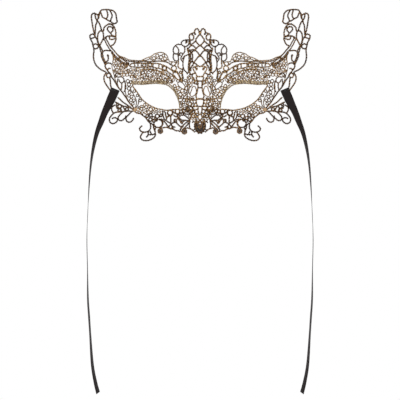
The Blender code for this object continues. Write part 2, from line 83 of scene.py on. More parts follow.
def twistedThread(name, dark, bright, flake, brightShare):
    # Two-ply viscose and metallised yarn: one ply matt and dark, the other gold and broken up by its
    # flat foil, so the cord looks flecked along its twist.
    material, shader = newMaterial(name)
    coords = addNode(material, "ShaderNodeTexCoord", {}, {})
    ply = addNode(material, "ShaderNodeAttribute", {"attribute_name": "ply"}, {})
    # The foil breaks up every 2 mm or so, and whole stretches of 10 mm are duller than others.
    flecks = addNode(material, "ShaderNodeTexNoise", {"Scale": 420.0, "Detail": 2.0},
                     {"Vector": (coords, "Object")})
    drift = addNode(material, "ShaderNodeTexNoise", {"Scale": 90.0, "Detail": 1.0},
                    {"Vector": (coords, "Object")})
    foil = addNode(material, "ShaderNodeMix",
                   {"data_type": "RGBA", 6: toLinear(bright), 7: toLinear(flake)}, {0: (flecks, "Fac")})
    worn = addNode(material, "ShaderNodeMapRange",
                   {"From Min": 0.35, "From Max": 0.65, "To Min": brightShare, "To Max": 1.0},
                   {"Value": (drift, "Fac")})
    share = addNode(material, "ShaderNodeMath", {"operation": "MULTIPLY"},
                    {0: (ply, "Fac"), 1: (worn, "Result")})
    colour = addNode(material, "ShaderNodeMix", {"data_type": "RGBA", 6: toLinear(dark)},
                     {0: (share, 0), 7: (foil, 2)})
    # Fibres lie about 0.15 mm apart across a ply; this is drawn at 0.4 mm so that it still shows.
    fibres = addNode(material, "ShaderNodeTexNoise", {"Scale": 2500.0, "Detail": 2.0},
                     {"Vector": (coords, "Object")})
    bump = addNode(material, "ShaderNodeBump", {"Strength": 0.35, "Distance": 0.0001},
                   {"Height": (fibres, "Fac")})
    gloss = addNode(material, "ShaderNodeMapRange", {"To Min": 0.75, "To Max": 0.42}, {"Value": (share, 0)})
    metal = addNode(material, "ShaderNodeMapRange", {"To Min": 0.0, "To Max": 0.35}, {"Value": (share, 0)})
    links = material.node_tree.links
    links.new(colour.outputs[2], shader.inputs["Base Color"])
    links.new(gloss.outputs["Result"], shader.inputs["Roughness"])
    links.new(metal.outputs["Result"], shader.inputs["Metallic"])
    links.new(bump.outputs["Normal"], shader.inputs["Normal"])
    setSockets(shader, {"Specular IOR Level": 0.18, "Sheen Weight": 0.04, "Sheen Roughness": 0.5})
    return material


def satinStitchThread(name, base, light):
    # Close rows of rayon floss laid side by side: a dull silk shine that runs along each row.
    material, shader = newMaterial(name)
    coords = addNode(material, "ShaderNodeTexCoord", {}, {})
    tone = addNode(material, "ShaderNodeTexNoise", {"Scale": 500.0, "Detail": 2.0},
                   {"Vector": (coords, "Object")})
    colour = addNode(material, "ShaderNodeMix",
                     {"data_type": "RGBA", 6: toLinear(base), 7: toLinear(light)}, {0: (tone, "Fac")})
    bump = addNode(material, "ShaderNodeBump", {"Strength": 0.3, "Distance": 0.0001},
                   {"Height": (tone, "Fac")})
    links = material.node_tree.links
    links.new(colour.outputs[2], shader.inputs["Base Color"])
    links.new(bump.outputs["Normal"], shader.inputs["Normal"])
    setSockets(shader, {"Roughness": 0.45, "Specular IOR Level": 0.4, "Sheen Weight": 0.2})
    return material


def satinRibbonWeave(name):
    # Woven polyester satin: floats run along the ribbon, so it is smooth with a soft sheen, and the
    # plain-woven selvedges are duller.
    material, shader = newMaterial(name)
    uv = addNode(material, "ShaderNodeUVMap", {"uv_map": "ribbonUv"}, {})
    # Real warp floats are 0.12 mm apart; they are drawn at 0.35 mm so that they show.
    stretch = addNode(material, "ShaderNodeMapping", {"Scale": (27.0, 0.8, 1.0)}, {"Vector": (uv, "UV")})
    floats = addNode(material, "ShaderNodeTexNoise", {"Scale": 1.0, "Detail": 3.0},
                     {"Vector": (stretch, "Vector")})
    across = addNode(material, "ShaderNodeSeparateXYZ", {}, {"Vector": (uv, "UV")})
    middle = addNode(material, "ShaderNodeMath", {"operation": "PINGPONG", 1: 0.5}, {0: (across, "X")})
    selvedge = addNode(material, "ShaderNodeMapRange",
                       {"From Min": 0.03, "From Max": 0.07, "To Min": 1.0, "To Max": 0.0},
                       {"Value": (middle, 0)})
    body = addNode(material, "ShaderNodeMix", {"data_type": "RGBA", 6: toLinear("#1a1717"),
                                               7: toLinear("#2c2727")}, {0: (floats, "Fac")})
    colour = addNode(material, "ShaderNodeMix", {"data_type": "RGBA", 7: toLinear("#151212")},
                     {0: (selvedge, "Result"), 6: (body, 2)})
    gloss = addNode(material, "ShaderNodeMapRange", {"To Min": 0.38, "To Max": 0.7},
                    {"Value": (selvedge, "Result")})
    bump = addNode(material, "ShaderNodeBump", {"Strength": 0.25, "Distance": 0.0001},
                   {"Height": (floats, "Fac")})
    links = material.node_tree.links
    links.new(colour.outputs[2], shader.inputs["Base Color"])
    links.new(gloss.outputs["Result"], shader.inputs["Roughness"])
    links.new(bump.outputs["Normal"], shader.inputs["Normal"])
    # Loose floats scatter nearly all the light, so a ribbon seen edge-on stays black.
    setSockets(shader, {"Specular IOR Level": 0.008})
    return material


# The material of each thread, and the CAD model's material slot that it belongs to.
threads = {
    "dark": (twistedThread("darkTwistedCord", "#22150c", "#a0754a", "#523a22", 0.3), "dark_cord"),
    "brown": (twistedThread("brownTwistedCord", "#2a1a0f", "#b58856", "#62472a", 0.4), "dark_cord"),
    "gold": (twistedThread("goldTwistedCord", "#3b2716", "#dab072", "#926f45", 0.6), "gold_cord"),
    "net": (twistedThread("goldNetCord", "#482f1a", "#eac28a", "#a5804f", 0.55), "gold_cord"),
    "crest": (twistedThread("deepGoldTwistedCord", "#2c1b10", "#c69c66", "#745433", 0.5), "gold_cord"),
    "tan": (twistedThread("paleGoldTwistedCord", "#6a5740", "#e8d4ae", "#b39c76", 0.8), "tan_cord"),
    "stitch": (satinStitchThread("brownRayonSatinStitch", "#2b1c12", "#86694f"), "satin_stitch"),
    "stitched": (satinStitchThread("darkRayonSatinStitch", "#0f0804", "#2e1e12"), "dark_cord"),
    "patch": (satinStitchThread("tanRayonSatinStitch", "#86684a", "#c7a880"), "tan_cord"),
    "ribbon": (satinRibbonWeave("blackPolyesterSatin"), "black_satin"),
    "sewing": (satinStitchThread("blackSewingThread", "#070606", "#121010"), "black_thread"),
}
print("materials ready")

# Two plies a spread apart, wound once every twist; cords lie in three layers and waver a little in depth.
cordShape = {
    "lobe": 0.35, "spread": 0.26, "lobeTurns": (-130, -45, 45, 130), "twist": 3.2, "step": 0.45,
    "loopTwist": 4.6, "loopStep": 0.68, "depth": 0.8, "layers": 3, "layer": 0.13, "loopLayer": 0.16,
    "loopDrop": 0.1, "sway": 0.12, "swayRate": 0.5, "tip": 0.72, "tipTaper": 0.6, "tones": (0.45, 1.0),
    "anyTurn": (0, 6.28),
}
# The net's row spacing, jitter and loop radius are shares of its pitch; a knot's radius is in millimetres.
netShape = {
    "row": 0.86, "jitter": 0.28, "radius": (0.4, 0.62), "squeeze": (0.6, 1.0), "lean": (0, 3.1), "points": 6,
    "knot": 0.42, "knotPoints": 5,
}
foldBand = (8, 15)      # the lace bends between these distances from the centre line


def sectionObject(name, points):
    # A closed flat outline to sweep along curves.
    curve = bpy.data.curves.new(name, "CURVE")
    curve.dimensions = "2D"
    spline = curve.splines.new("POLY")
    spline.points.add(len(points) - 1)
    spline.use_cyclic_u = True
    for knot, (x, y) in zip(spline.points, points):
        knot.co = (x * mm, y * mm, 0.0, 1.0)
    section = bpy.data.objects.new(name, curve)
    bpy.context.scene.collection.objects.link(section)
    return section


def plyProfile(scale):
    # Two touching plies in section: four points each, the first four on the bright ply.
    points = []
    for side in (1, -1):
        for turn in cordShape["lobeTurns"]:
            angle = math.radians(turn)
            reach = cordShape["spread"] + cordShape["lobe"] * math.cos(angle)
            points.append((side * reach, side * cordShape["lobe"] * math.sin(angle)))
    return sectionObject("plySection", [(x * scale, y * scale) for x, y in points])


def smoothRoute(points, closed=False, step=None):
    # A smooth line through the points, sampled about every step, as (point, length so far).
    step = step or cordShape["step"]
    knots = [Vector(p) for p in points]
    count = len(knots)
    spans = count if closed else count - 1
    pick = (lambda i: knots[i % count]) if closed else (lambda i: knots[max(0, min(count - 1, i))])
    line = []
    for i in range(spans):
        before, start, end, after = (pick(i + k) for k in (-1, 0, 1, 2))
        cuts = max(1, round((end - start).length / step))
        for j in range(cuts):
            t = j / cuts
            bow = 2 * before - 5 * start + 4 * end - after
            twist = 3 * start - before - 3 * end + after
            line.append(0.5 * (2 * start + (end - before) * t + bow * t * t + twist * t ** 3))
    if not closed:
        line.append(knots[-1])
    return line


def cordCurve(section):
    curve = bpy.data.curves.new("cords", "CURVE")
    curve.dimensions = "3D"
    curve.twist_mode = "MINIMUM"
    curve.bevel_mode = "OBJECT"
    curve.bevel_object = section
    return curve


def layCord(curve, points, side, depth, closed, rng):
    # One twisted cord along the points; a closed one has a whole number of turns.
    line = smoothRoute(points, closed, cordShape["loopStep" if closed else "step"])
    lengths = [0.0]
    for a, b in zip(line, line[1:]):
        lengths.append(lengths[-1] + (b - a).length)
    whole = lengths[-1] + ((line[0] - line[-1]).length if closed else 0.0)
    turnsPerLength = 1 / cordShape["twist"]
    if closed:
        turnsPerLength = max(1, round(whole / cordShape["loopTwist"])) / whole
    spline = curve.splines.new("POLY")
    spline.points.add(len(line) - 1)
    spline.use_cyclic_u = closed
    phase = rng.uniform(*cordShape["anyTurn"])
    swayStart = rng.uniform(*cordShape["anyTurn"])
    for knot, place, length in zip(spline.points, line, lengths):
        lift = 0.0 if closed else cordShape["sway"] * math.sin(swayStart + length * cordShape["swayRate"])
        knot.co = (side * place.x * mm, -(depth + lift) * mm, (place.y + eyeLine) * mm, 1.0)
        knot.tilt = phase + 2 * math.pi * length * turnsPerLength
        nearEnd = min(length, whole - length)
        knot.radius = 1.0 if closed else min(1.0, cordShape["tip"] + nearEnd * cordShape["tipTaper"])
    return len(line), rng.uniform(*cordShape["tones"])


def meshFromCords(curve, name):
    guide = bpy.data.objects.new("guide", curve)
    bpy.context.scene.collection.objects.link(guide)
    mesh = bpy.data.meshes.new_from_object(guide.evaluated_get(bpy.context.evaluated_depsgraph_get()))
    bpy.data.objects.remove(guide, do_unlink=True)
    bpy.data.curves.remove(curve)
    mesh.name = name
    return mesh


def finishTubes(mesh, tones):
    # Half of each section is the bright ply, as bright as its cord's tone; open ends are closed.
    ply = mesh.attributes.new("ply", "FLOAT", "POINT")
    corners = len(cordShape["lobeTurns"])
    values = [value for stations, tone in tones for value in ([tone] * corners + [0.0] * corners) * stations]
    ply.data.foreach_set("value", values)
    bm = bmesh.new()
    bm.from_mesh(mesh)
    bmesh.ops.holes_fill(bm, edges=[e for e in bm.edges if e.is_boundary])
    bmesh.ops.recalc_face_normals(bm, faces=bm.faces)
    bm.to_mesh(mesh)
    bm.free()
    mesh.shade_smooth()


def addPiece(mesh, finish, body, nodes=(), fold=None):
    material, slotName = threads[finish]
    mesh.materials.clear()
    mesh.materials.append(material)
    piece = bpy.data.objects.new(mesh.name, mesh)
    bpy.context.scene.collection.objects.link(piece)
    if fold:
        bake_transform(piece)
    else:
        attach(piece, body)
    if nodes:
        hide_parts(*nodes)
    return piece


def foldLine(sideName):
    # The lace bends over a band beside the nose; this gives the band's near and far edges and the bodies on
    # either side.
    side = sides[sideName]
    near, far = foldBand
    return ("centre", sideName + "_side", (side * near * mm, 0, 0), (side * far * mm, 0, 0))


def circle(out, up, radius, squeeze=1.0, lean=0.0, count=7):
    turns = [2 * math.pi * i / count for i in range(count)]
    ca, sa = math.cos(lean), math.sin(lean)
    flat = [(radius * math.cos(a), radius * squeeze * math.sin(a)) for a in turns]
    return [(out + x * ca - y * sa, up + x * sa + y * ca) for x, y in flat]


def inside(point, outline):
    hit = False
    for (ax, ay), (bx, by) in zip(outline, outline[1:] + outline[:1]):
        if (ay > point[1]) != (by > point[1]) and point[0] < (bx - ax) * (point[1] - ay) / (by - ay) + ax:
            hit = not hit
    return hit


def netLoops(outline, pitch, gaps, rng):
    # Small embroidered loops packed in an uneven honeycomb over the outline, kept off the gaps.
    loops = []
    outs, ups = [p[0] for p in outline], [p[1] for p in outline]
    rowPitch, jitter = pitch * netShape["row"], netShape["jitter"] * pitch
    rows = int((max(ups) - min(ups)) / rowPitch) + 1
    columns = int((max(outs) - min(outs)) / pitch) + 2
    for row in range(rows):
        for column in range(columns):
            out = min(outs) + (column + 0.5 * (row % 2)) * pitch + rng.uniform(-jitter, jitter)
            up = min(ups) + row * rowPitch + rng.uniform(-jitter, jitter)
            radius = pitch * rng.uniform(*netShape["radius"])
            squeeze, lean = rng.uniform(*netShape["squeeze"]), rng.uniform(*netShape["lean"])
            blocked = any(math.hypot(out - gx, up - gz) < gr for gx, gz, gr in gaps)
            if inside((out, up), outline) and not blocked:
                loops.append(circle(out, up, radius, squeeze, lean, netShape["points"]))
    return loops


def scatterKnots(outline, pitch, seed):
    # Tight little knots of thread, spread like the net's loops.
    loops = netLoops(outline, pitch, [], random.Random(seed))
    centres = [[sum(axis) / len(loop) for axis in zip(*loop)] for loop in loops]
    return [(out, up, netShape["knot"], 1.0, 0.0, netShape["knotPoints"]) for out, up in centres]


def sewMotif(name, motif):
    # The motif's cords, rings and nets as one mesh, once for each side that it is on.
    rng = random.Random(name)
    loops = [circle(*ring) for ring in motif.get("rings", [])]
    for outline, pitch, gaps in motif.get("nets", []):
        loops += netLoops(outline, pitch, gaps, rng)
    base = motif.get("depth", cordShape["depth"])
    layers = cordShape["layers"]
    laid = [(route, False, base + cordShape["layer"] * (i % layers))
            for i, route in enumerate(motif.get("cords", []))]
    laid += [(loop, True, base - cordShape["loopDrop"] + cordShape["loopLayer"] * (i % layers))
             for i, loop in enumerate(loops)]
    for sideName in motif.get("on", sides):
        central = sideName == "centre"
        seeded = random.Random(name + "twist")
        curve = cordCurve(section=sections[motif.get("weight", "main")])
        mirrors = (1, -1) if central else (sides[sideName],)
        tones = [layCord(curve, route, side, depth, closed, seeded)
                 for side in mirrors for route, closed, depth in laid]
        mesh = meshFromCords(curve, name + ("" if central else sideName.capitalize()))
        finishTubes(mesh, tones)
        nodes = [node + ("" if central else "_" + sideName) for node in motif.get("nodes", ())]
        fold = foldLine(sideName) if motif.get("bends") else None
        addPiece(mesh, motif["finish"], sideName if central else sideName + "_side", nodes, fold)


# Each piece takes its thread's material, and the CAD nodes that it stands for are hidden.
weights = {"main": 1.45, "fine": 1.1, "thin": 0.98, "bold": 1.65, "sewing": 0.4}
sections = {weight: plyProfile(scale) for weight, scale in weights.items()}

# The curled horn at the upper outer corner.
sewMotif("hornCap", {
    "finish": "dark", "weight": "bold", "nodes": ("horn_cap",),
    "cords": [
        [(101.5, 78), (100.7, 82), (100.3, 84), (99.3, 86), (98, 87), (95.5, 87.3), (92, 87.3), (89, 86.8),
         (87, 86.3), (85.5, 85), (84.2, 83.3), (83.7, 81), (83.4, 78.5), (83, 76.5), (82.6, 75.7),
         (83.2, 74.5), (84.5, 73.6), (86, 73.2), (87.5, 74), (89.3, 75.5)],
        [(99.6, 85), (98.2, 82), (98, 80.7), (97, 79.5), (95, 78.5), (93, 77.3), (91, 76), (89.3, 75.5),
         (89.3, 74.6)],
        [(93.5, 87.2), (92.6, 84.5), (92.1, 82), (92.5, 80), (93.8, 78)],
        [(90.5, 87), (89, 84.7), (88, 82.5), (87.8, 81), (88.3, 79), (89.2, 77.3), (89.3, 75.7)],
        [(92, 73.1), (90, 72.7), (88, 72.7), (86, 73.2)],
    ],
})
sewMotif("hornNeck", {
    "finish": "brown", "weight": "bold", "nodes": ("horn_neck",),
    "cords": [
        [(88.6, 72.9), (90.2, 73), (91.8, 72.5), (93.6, 71.5), (95.3, 70), (96.2, 68), (96, 66.8),
         (97, 65.5), (96.6, 63), (96.4, 60), (96.8, 58), (97.8, 56), (98.8, 54), (99.8, 52), (100.4, 50.5)],
        [(97.2, 65.8), (98.7, 66.3), (100.3, 65.5), (101.5, 64), (102.2, 61.5), (102.4, 58.5), (102, 56),
         (101.3, 53.5), (100.4, 50.8)],
    ],
})
sewMotif("hornCurl", {
    "finish": "brown", "weight": "bold", "nodes": ("horn_curl",),
    "cords": [
        [(89.4, 72.8), (87.6, 71.9), (85.9, 70.2), (84.7, 67.4), (84.1, 64.5), (84.1, 62), (84.2, 60),
         (83.8, 58.5), (84.3, 56.5), (85.3, 54), (87, 52), (89.3, 51.1)],
        [(87, 67.6), (87.6, 69.2), (88.7, 70), (90.3, 70.2), (91.8, 69.8), (92.5, 68.5), (92.4, 67),
         (91.3, 65.7), (90, 64.3), (89, 63.5)],
        [(86.6, 70.5), (86.9, 68.5), (87, 66.5), (88.3, 65), (89, 63.5), (88.4, 62), (86.5, 61),
         (84.4, 60.3)],
        [(94.2, 59.4), (93.5, 60.2), (92, 60.9), (90, 61), (88, 60.7), (86, 60.2), (84.2, 60.2)],
        [(90.5, 60.8), (90.5, 59.2), (90.2, 58), (89, 57.5), (87.5, 57.4), (86.2, 58), (84.3, 58.2)],
    ],
})
sewMotif("armLoop", {
    "finish": "dark", "weight": "bold", "nodes": ("arm_loop",),
    "cords": [
        [(104.8, 60.5), (105.7, 64), (106.3, 66), (107.3, 71), (107.9, 75), (108.5, 79), (108.4, 81.5),
         (107.5, 83), (106, 83.7), (104.5, 83.3), (103, 82.3), (102, 82.2), (101, 83), (100, 84.5)],
        [(104.9, 83.2), (104.6, 80), (103.8, 78), (102.7, 76), (101.2, 74.7), (100.2, 72.5), (99.3, 70),
         (98.6, 67.5), (98.6, 66), (97, 65.5)],
        [(101.7, 82.3), (101.7, 79), (102.3, 77.5), (102.8, 75.7), (103.2, 74), (104, 72.3), (104.4, 70.5),
         (104.6, 66), (104.8, 62)],
        [(105.2, 62), (104.6, 60), (103.5, 58.5), (102.6, 57), (102.3, 55), (101.5, 53), (100.5, 51)],
    ],
})
sewMotif("outerSickle", {
    "finish": "dark", "weight": "bold", "nodes": ("outer_sickle",),
    "cords": [
        [(105, 60.5), (105.7, 62), (107.2, 62.8), (109, 62.3), (110, 61), (109.8, 59), (109, 57),
         (108, 55.3), (107.3, 53.5), (107, 51.5), (106.3, 49), (106, 46), (106.3, 43.5), (106.5, 41),
         (106.3, 38.5), (105.8, 36), (105, 33.8), (103.7, 31.5), (102, 29.8), (100, 28), (98, 26.8),
         (96, 25.8), (94.8, 25.4), (94, 24.5), (93.7, 22.8)],
        [(109.4, 58), (107.3, 58.8), (105.5, 59.5), (104.6, 60)],
        [(107, 51.6), (105.3, 52.8), (103.7, 53), (102.5, 52), (101.6, 51), (102, 49.2), (103.5, 48.3),
         (105, 48.2), (106.2, 48.8)],
    ],
})
print("horns sewn")

# The trunk down the outer edge, its curls, and the stems that run in from the horn.
sewMotif("wingTrunk", {
    "finish": "brown", "weight": "bold", "nodes": ("wing_trunk",),
    "rings": [(91.3, 21.5, 2.2), (92, 41.4, 0.6), (100.9, 51, 0.6)],
    "cords": [
        [(100.5, 50.8), (99.8, 48), (99.3, 46), (98.5, 43.8), (98.7, 41.5), (97.8, 39), (97, 37),
         (96.2, 35.4), (95.3, 33.5), (94.8, 32), (94.7, 30), (94, 28.5), (92.8, 27), (91.8, 25.3),
         (90.3, 24), (89.3, 22.5), (88.3, 20), (86.8, 18), (85.5, 16), (84.3, 14), (82.3, 10.5), (81, 8.8),
         (79.7, 7.3), (78.6, 6), (77, 3.8), (75, 0.8), (72, -3)],
        [(100, 51), (98.9, 49), (98, 47.4), (97.3, 45.6), (97.4, 43), (97, 41), (96.3, 38.6), (95.2, 36.4),
         (94.2, 34), (93.9, 32)],
        [(97.5, 45), (96.3, 45.9), (94.5, 46.4), (93, 46.5), (91, 46.2), (89, 46)],
        [(96.2, 35.3), (94.5, 35.2), (93, 35.5), (91.8, 37), (91.6, 38.5), (91.8, 40), (92.4, 41)],
        [(94.6, 32.3), (93.3, 33.5), (91.5, 34), (89.5, 33.5), (88, 32.6)],
        [(94.5, 28.9), (92.3, 27.5), (91, 28.5), (89.2, 28.4)],
        [(94, 23.5), (95.3, 22), (96, 19.5), (95.8, 17), (95, 14.5), (93.5, 12), (91.8, 9.5), (90.3, 7.5),
         (89, 5)],
        [(90.4, 19.6), (89.6, 16), (89.5, 13), (89, 10.5), (88, 7)],
    ],
})
sewMotif("stemBundle", {
    "finish": "brown", "nodes": ("stem_bundle",),
    "rings": [(72.5, 33, 1.5), (72.5, 33, 0.6), (94.5, 58.9, 0.5), (94.4, 59.1, 0.8)],
    "cords": [
        [(96.3, 58), (94.7, 55.8), (93.5, 53), (92, 50.5), (90.5, 48), (89, 46.3), (87.5, 45), (85, 41.5),
         (81, 37.5), (78, 35.2), (75.5, 33.5), (73.2, 32.2)],
        [(94.3, 58.9), (93, 56.5), (91.5, 54), (90.3, 51.5), (88, 48.5), (86, 46.5), (84, 44), (81, 40.5),
         (78, 38), (75, 36), (73, 34.4)],
        [(88.6, 45), (87, 42), (84, 38.5), (81, 35.8), (77, 33), (74.7, 30.3)],
    ],
})
print("wings sewn")

# The brow: scalloped top edge, the ladder under it and the close net down to the eye rim.
sewMotif("browBump", {
    "finish": "gold", "weight": "fine", "nodes": ("brow_bump",),
    "cords": [
        [(89.3, 51.1), (87, 47.8), (85, 45), (82.5, 42.5), (80, 40.8), (77, 39.8), (75, 39), (72, 37.5),
         (69, 36.8), (65, 36.5), (61, 36.2), (58, 36.7), (55.5, 38), (52, 39.5), (49.5, 40.2), (47.5, 41.5),
         (45.5, 43), (43.5, 43.7), (41, 44.4), (38.5, 44.5), (36, 43.8), (34, 42.5), (32.5, 40.5),
         (32, 38.5), (31, 36.5), (30, 35.3), (27, 35.2), (24.5, 34.5), (22.4, 34)],
        [(57, 36.6), (54, 36.6), (52, 37.3), (50, 38), (48, 36.8), (46.5, 36), (45, 36.3), (44, 38.6),
         (42.5, 38), (40.5, 38), (39, 37.2), (38, 36.5), (35.5, 36), (33.5, 36.5), (31.5, 38)],
    ],
    "rings": [
        (42.7, 41.2, 1.6), (39, 39.8, 1.7), (46, 38.7, 1.6), (35, 38.3, 1.6), (36.6, 41.4, 1.4),
        (49.6, 38.9, 1.0),
    ],
})
sewMotif("browLadder", {
    "finish": "gold", "nodes": ("brow_ladder",),
    "rings": [(35.5, 28.7, 1.9), (55.8, 31.8, 1.5), (49.9, 32, 1.6)],
    "cords": [
        [(69, 33.2), (66, 33.6), (62, 33.8), (57, 33.7), (53, 34), (50, 34.2), (47.5, 33.5), (44.5, 33.5),
         (41, 33.3), (38, 32.2), (35.5, 31.3), (33, 30), (30.5, 28.3), (28.5, 26.8), (26.5, 25.3),
         (24.3, 24)],
        [(70.5, 30.4), (67, 30), (62, 29.6), (58, 29.7), (54, 29.7), (50, 30), (47, 29.8), (44, 29),
         (41, 28.5), (38.5, 27.7), (37, 26), (34, 26), (31.5, 24.7), (29, 23), (27.5, 21.8), (26.3, 20.5),
         (24.5, 19), (23, 18)],
        [(58, 27.6), (55, 27.5), (50, 27.4), (46, 27), (42, 26.3), (39, 25), (37.5, 23), (34, 21.8),
         (30, 19)],
        [(58, 35.8), (55, 35.6), (50, 35.4), (46, 35.3), (42, 35.9), (38, 35.6), (34, 35), (31, 33.8),
         (29.5, 32.3), (27, 31.6)],
        [(29.6, 32.4), (27.6, 34.8)], [(66, 33.8), (65.4, 36.4)], [(61.2, 33.8), (61, 36)],
        [(52.8, 34), (52.8, 29.8)], [(47, 33.6), (47, 29.8)], [(38, 32.2), (37.4, 26.6)],
        [(33.3, 30.2), (33.3, 25.8)], [(26.8, 25.6), (27, 21.4)], [(58.7, 33.8), (58.6, 29.6)],
        [(62, 33.8), (62, 29.6)], [(65.4, 33.6), (65, 30)], [(69, 33.2), (70.5, 30.4)],
        [(41, 33.3), (41.2, 28.6)],
    ],
})
browOutline = [
    (73, 21), (72, 29.5), (64, 29.4), (56, 29), (48, 28.6), (41, 27.6), (36.5, 25.4), (31.5, 23.4),
    (27, 20.4), (26, 15), (29, 12), (33, 14.2), (38, 15.6), (44, 15.8), (54, 15.4), (63, 15.4), (70, 16)]
sewMotif("browNet", {
    "finish": "net", "nodes": ("brow_mesh",), "weight": "thin",
    "nets": [(browOutline, 2.95, [(50, 23, 1.2), (62, 21, 1.2)])],
})
sewMotif("browKnots", {
    "finish": "dark", "weight": "thin", "depth": 1.25, "rings": scatterKnots(browOutline, 4.3, 5),
})
sewMotif("templeNet", {
    "finish": "net", "nodes": ("temple_panel",), "weight": "thin",
    "cords": [
        [(88.8, 44), (87.5, 42.5), (87, 40), (86.8, 37), (87, 34.5), (87.8, 32.5), (88, 30.5), (87.5, 27.5),
         (86.8, 25), (86.2, 23), (85.2, 20), (84.8, 17.5), (84, 15.5), (83.5, 13)],
    ],
    "nets": [
        ([(88, 42), (86.4, 36), (87.4, 31), (86, 24), (84.8, 20.6), (79, 21), (74, 20), (72, 24),
         (71.4, 30), (74.6, 33), (79, 37), (83, 40), (86, 43)], 2.65, []),
    ],
})
sewMotif("templeScroll", {
    "finish": "brown", "rings": [(84.9, 20, 0.5), (72.2, 32.9, 0.6)],
    "cords": [
        [(85.2, 20), (83, 20.2), (81.3, 19.8), (79, 20.2), (77, 19.3), (76, 17.5), (76.2, 15.2), (78, 13.8),
         (78.2, 10.5), (78.3, 9), (79, 6.8)],
        [(82, 18.5), (82.3, 16.5), (82.7, 13), (81.6, 10)],
        [(81.2, 17.6), (80.8, 16.4), (80, 15), (78.4, 13.8)],
        [(76.2, 17), (74.6, 13.6), (74.2, 9), (76, 4.6)],
        [(85.4, 20.4), (84.4, 22.6), (82, 24), (79.6, 22.4)],
        [(82, 41.2), (77, 38.5), (72, 36), (66, 35.2), (61, 34.9), (57, 35.6)],
    ],
})
print("brows sewn")

# The eye opening: a beaded upper rim, a lower rim and the looped columns beside it.
upperEdge = [
    (67.4, 12.6), (63, 12.9), (58, 12.6), (52, 13.1), (46, 13.6), (40, 13.9), (36, 13.4), (33, 12),
    (30.6, 10.6), (28.6, 8.8), (26.5, 6.8), (25, 4.5), (23.5, 1.6), (22.3, -0.9), (21.3, -4), (20.5, -7),
    (20.2, -10), (20, -12)]
beads = {"count": 17, "start": 67.2, "pitch": 1.95, "height": 14, "arch": 0.9, "level": 4, "bend": 0.3,
         "radius": 1.0}
sewMotif("upperEyeRim", {
    "finish": "tan", "nodes": ("upper_eye_rim",), "depth": 1.0,
    "rings": [(beads["start"] - beads["pitch"] * i,
               beads["height"] + beads["arch"] * math.sin(max(0, i - beads["level"]) * beads["bend"]),
               beads["radius"]) for i in range(beads["count"])],
    "cords": [
        upperEdge,
        [(69, 15), (64, 15.2), (58, 15), (52, 15.4), (46, 16), (40, 16.3), (36, 15.6), (32, 13.8),
         (28.4, 11), (25, 7.4), (23, 3.6), (21, -0.4)],
    ],
})
sewMotif("lowerEyeRim", {
    "finish": "gold", "nodes": ("lower_eye_rim",), "depth": 0.9,
    "cords": [
        [(67.4, 12.6), (67, 10.4), (64.9, 7.6), (63, 5), (61.5, 2.7), (60, 0.4), (58.4, -1.9), (56.4, -3.9),
         (54.3, -5.6), (52.3, -7.1), (50.2, -8.4), (48.2, -9.4), (46.2, -10.4), (44.2, -11.3),
         (41.2, -12.1), (38, -12.6), (35, -13.2), (32, -13.3), (28, -12.7), (25, -12.6), (20.4, -12.3)],
    ],
})
sewMotif("templeColumn", {
    "finish": "crest", "weight": "fine", "nodes": ("temple_column",),
    "cords": [
        [(74.6, 14), (75, 9), (74.4, 4), (73, -1), (71, -5.2), (69, -7.7), (67.5, -9.3), (66, -11.4)],
        [(68, 11), (69.4, 8), (67.6, 4.6), (66, 1.6), (64.6, -1), (63.6, -4), (63.8, -8), (65, -11.4)],
        [(60.4, -0.4), (61.4, -3.6), (61.6, -6.8), (63, -9.8), (65, -12)],
    ],
    "rings": [
        (71, 8.5, 1.7), (71, 12.4, 1.6), (70.4, 4.6, 1.5), (71, 1.2, 1.4), (68.4, 0.4, 1.5),
        (69, -3.2, 1.5), (66.2, -3.4, 1.4), (67, -6.8, 1.3), (72.2, 15.8, 1.7), (69, 14.8, 1.5),
        (62.6, 1.4, 1.2), (65.6, 5.8, 1.3), (59.8, -3.6, 1.3),
    ],
})
sewMotif("innerNet", {
    "finish": "gold", "nodes": ("inner_mesh",), "weight": "fine", "bends": True,
    "cords": [
        [(21.2, 15.2), (18.4, 14.6), (15.7, 12), (14.7, 9.2), (16.4, 7.8), (19.2, 9.2), (21.6, 11.6),
         (22.2, 13.8), (21.2, 15.2)],
        [(11.4, 20), (12.4, 15), (12.2, 10), (13, 5), (12.4, 0), (13, -5), (12.2, -10), (12.6, -16)],
    ],
    "nets": [
        ([(11.6, 19), (11.4, 0), (11.6, -17), (19.4, -14), (19.6, -7), (21.2, -1), (23.8, 4.8), (27, 9),
         (26.6, 12.4), (23.6, 16), (19.5, 19)], 3.25, [(19.6, 12.8, 3.6), (17, 10.4, 3.3)]),
    ],
})
print("eyes sewn")

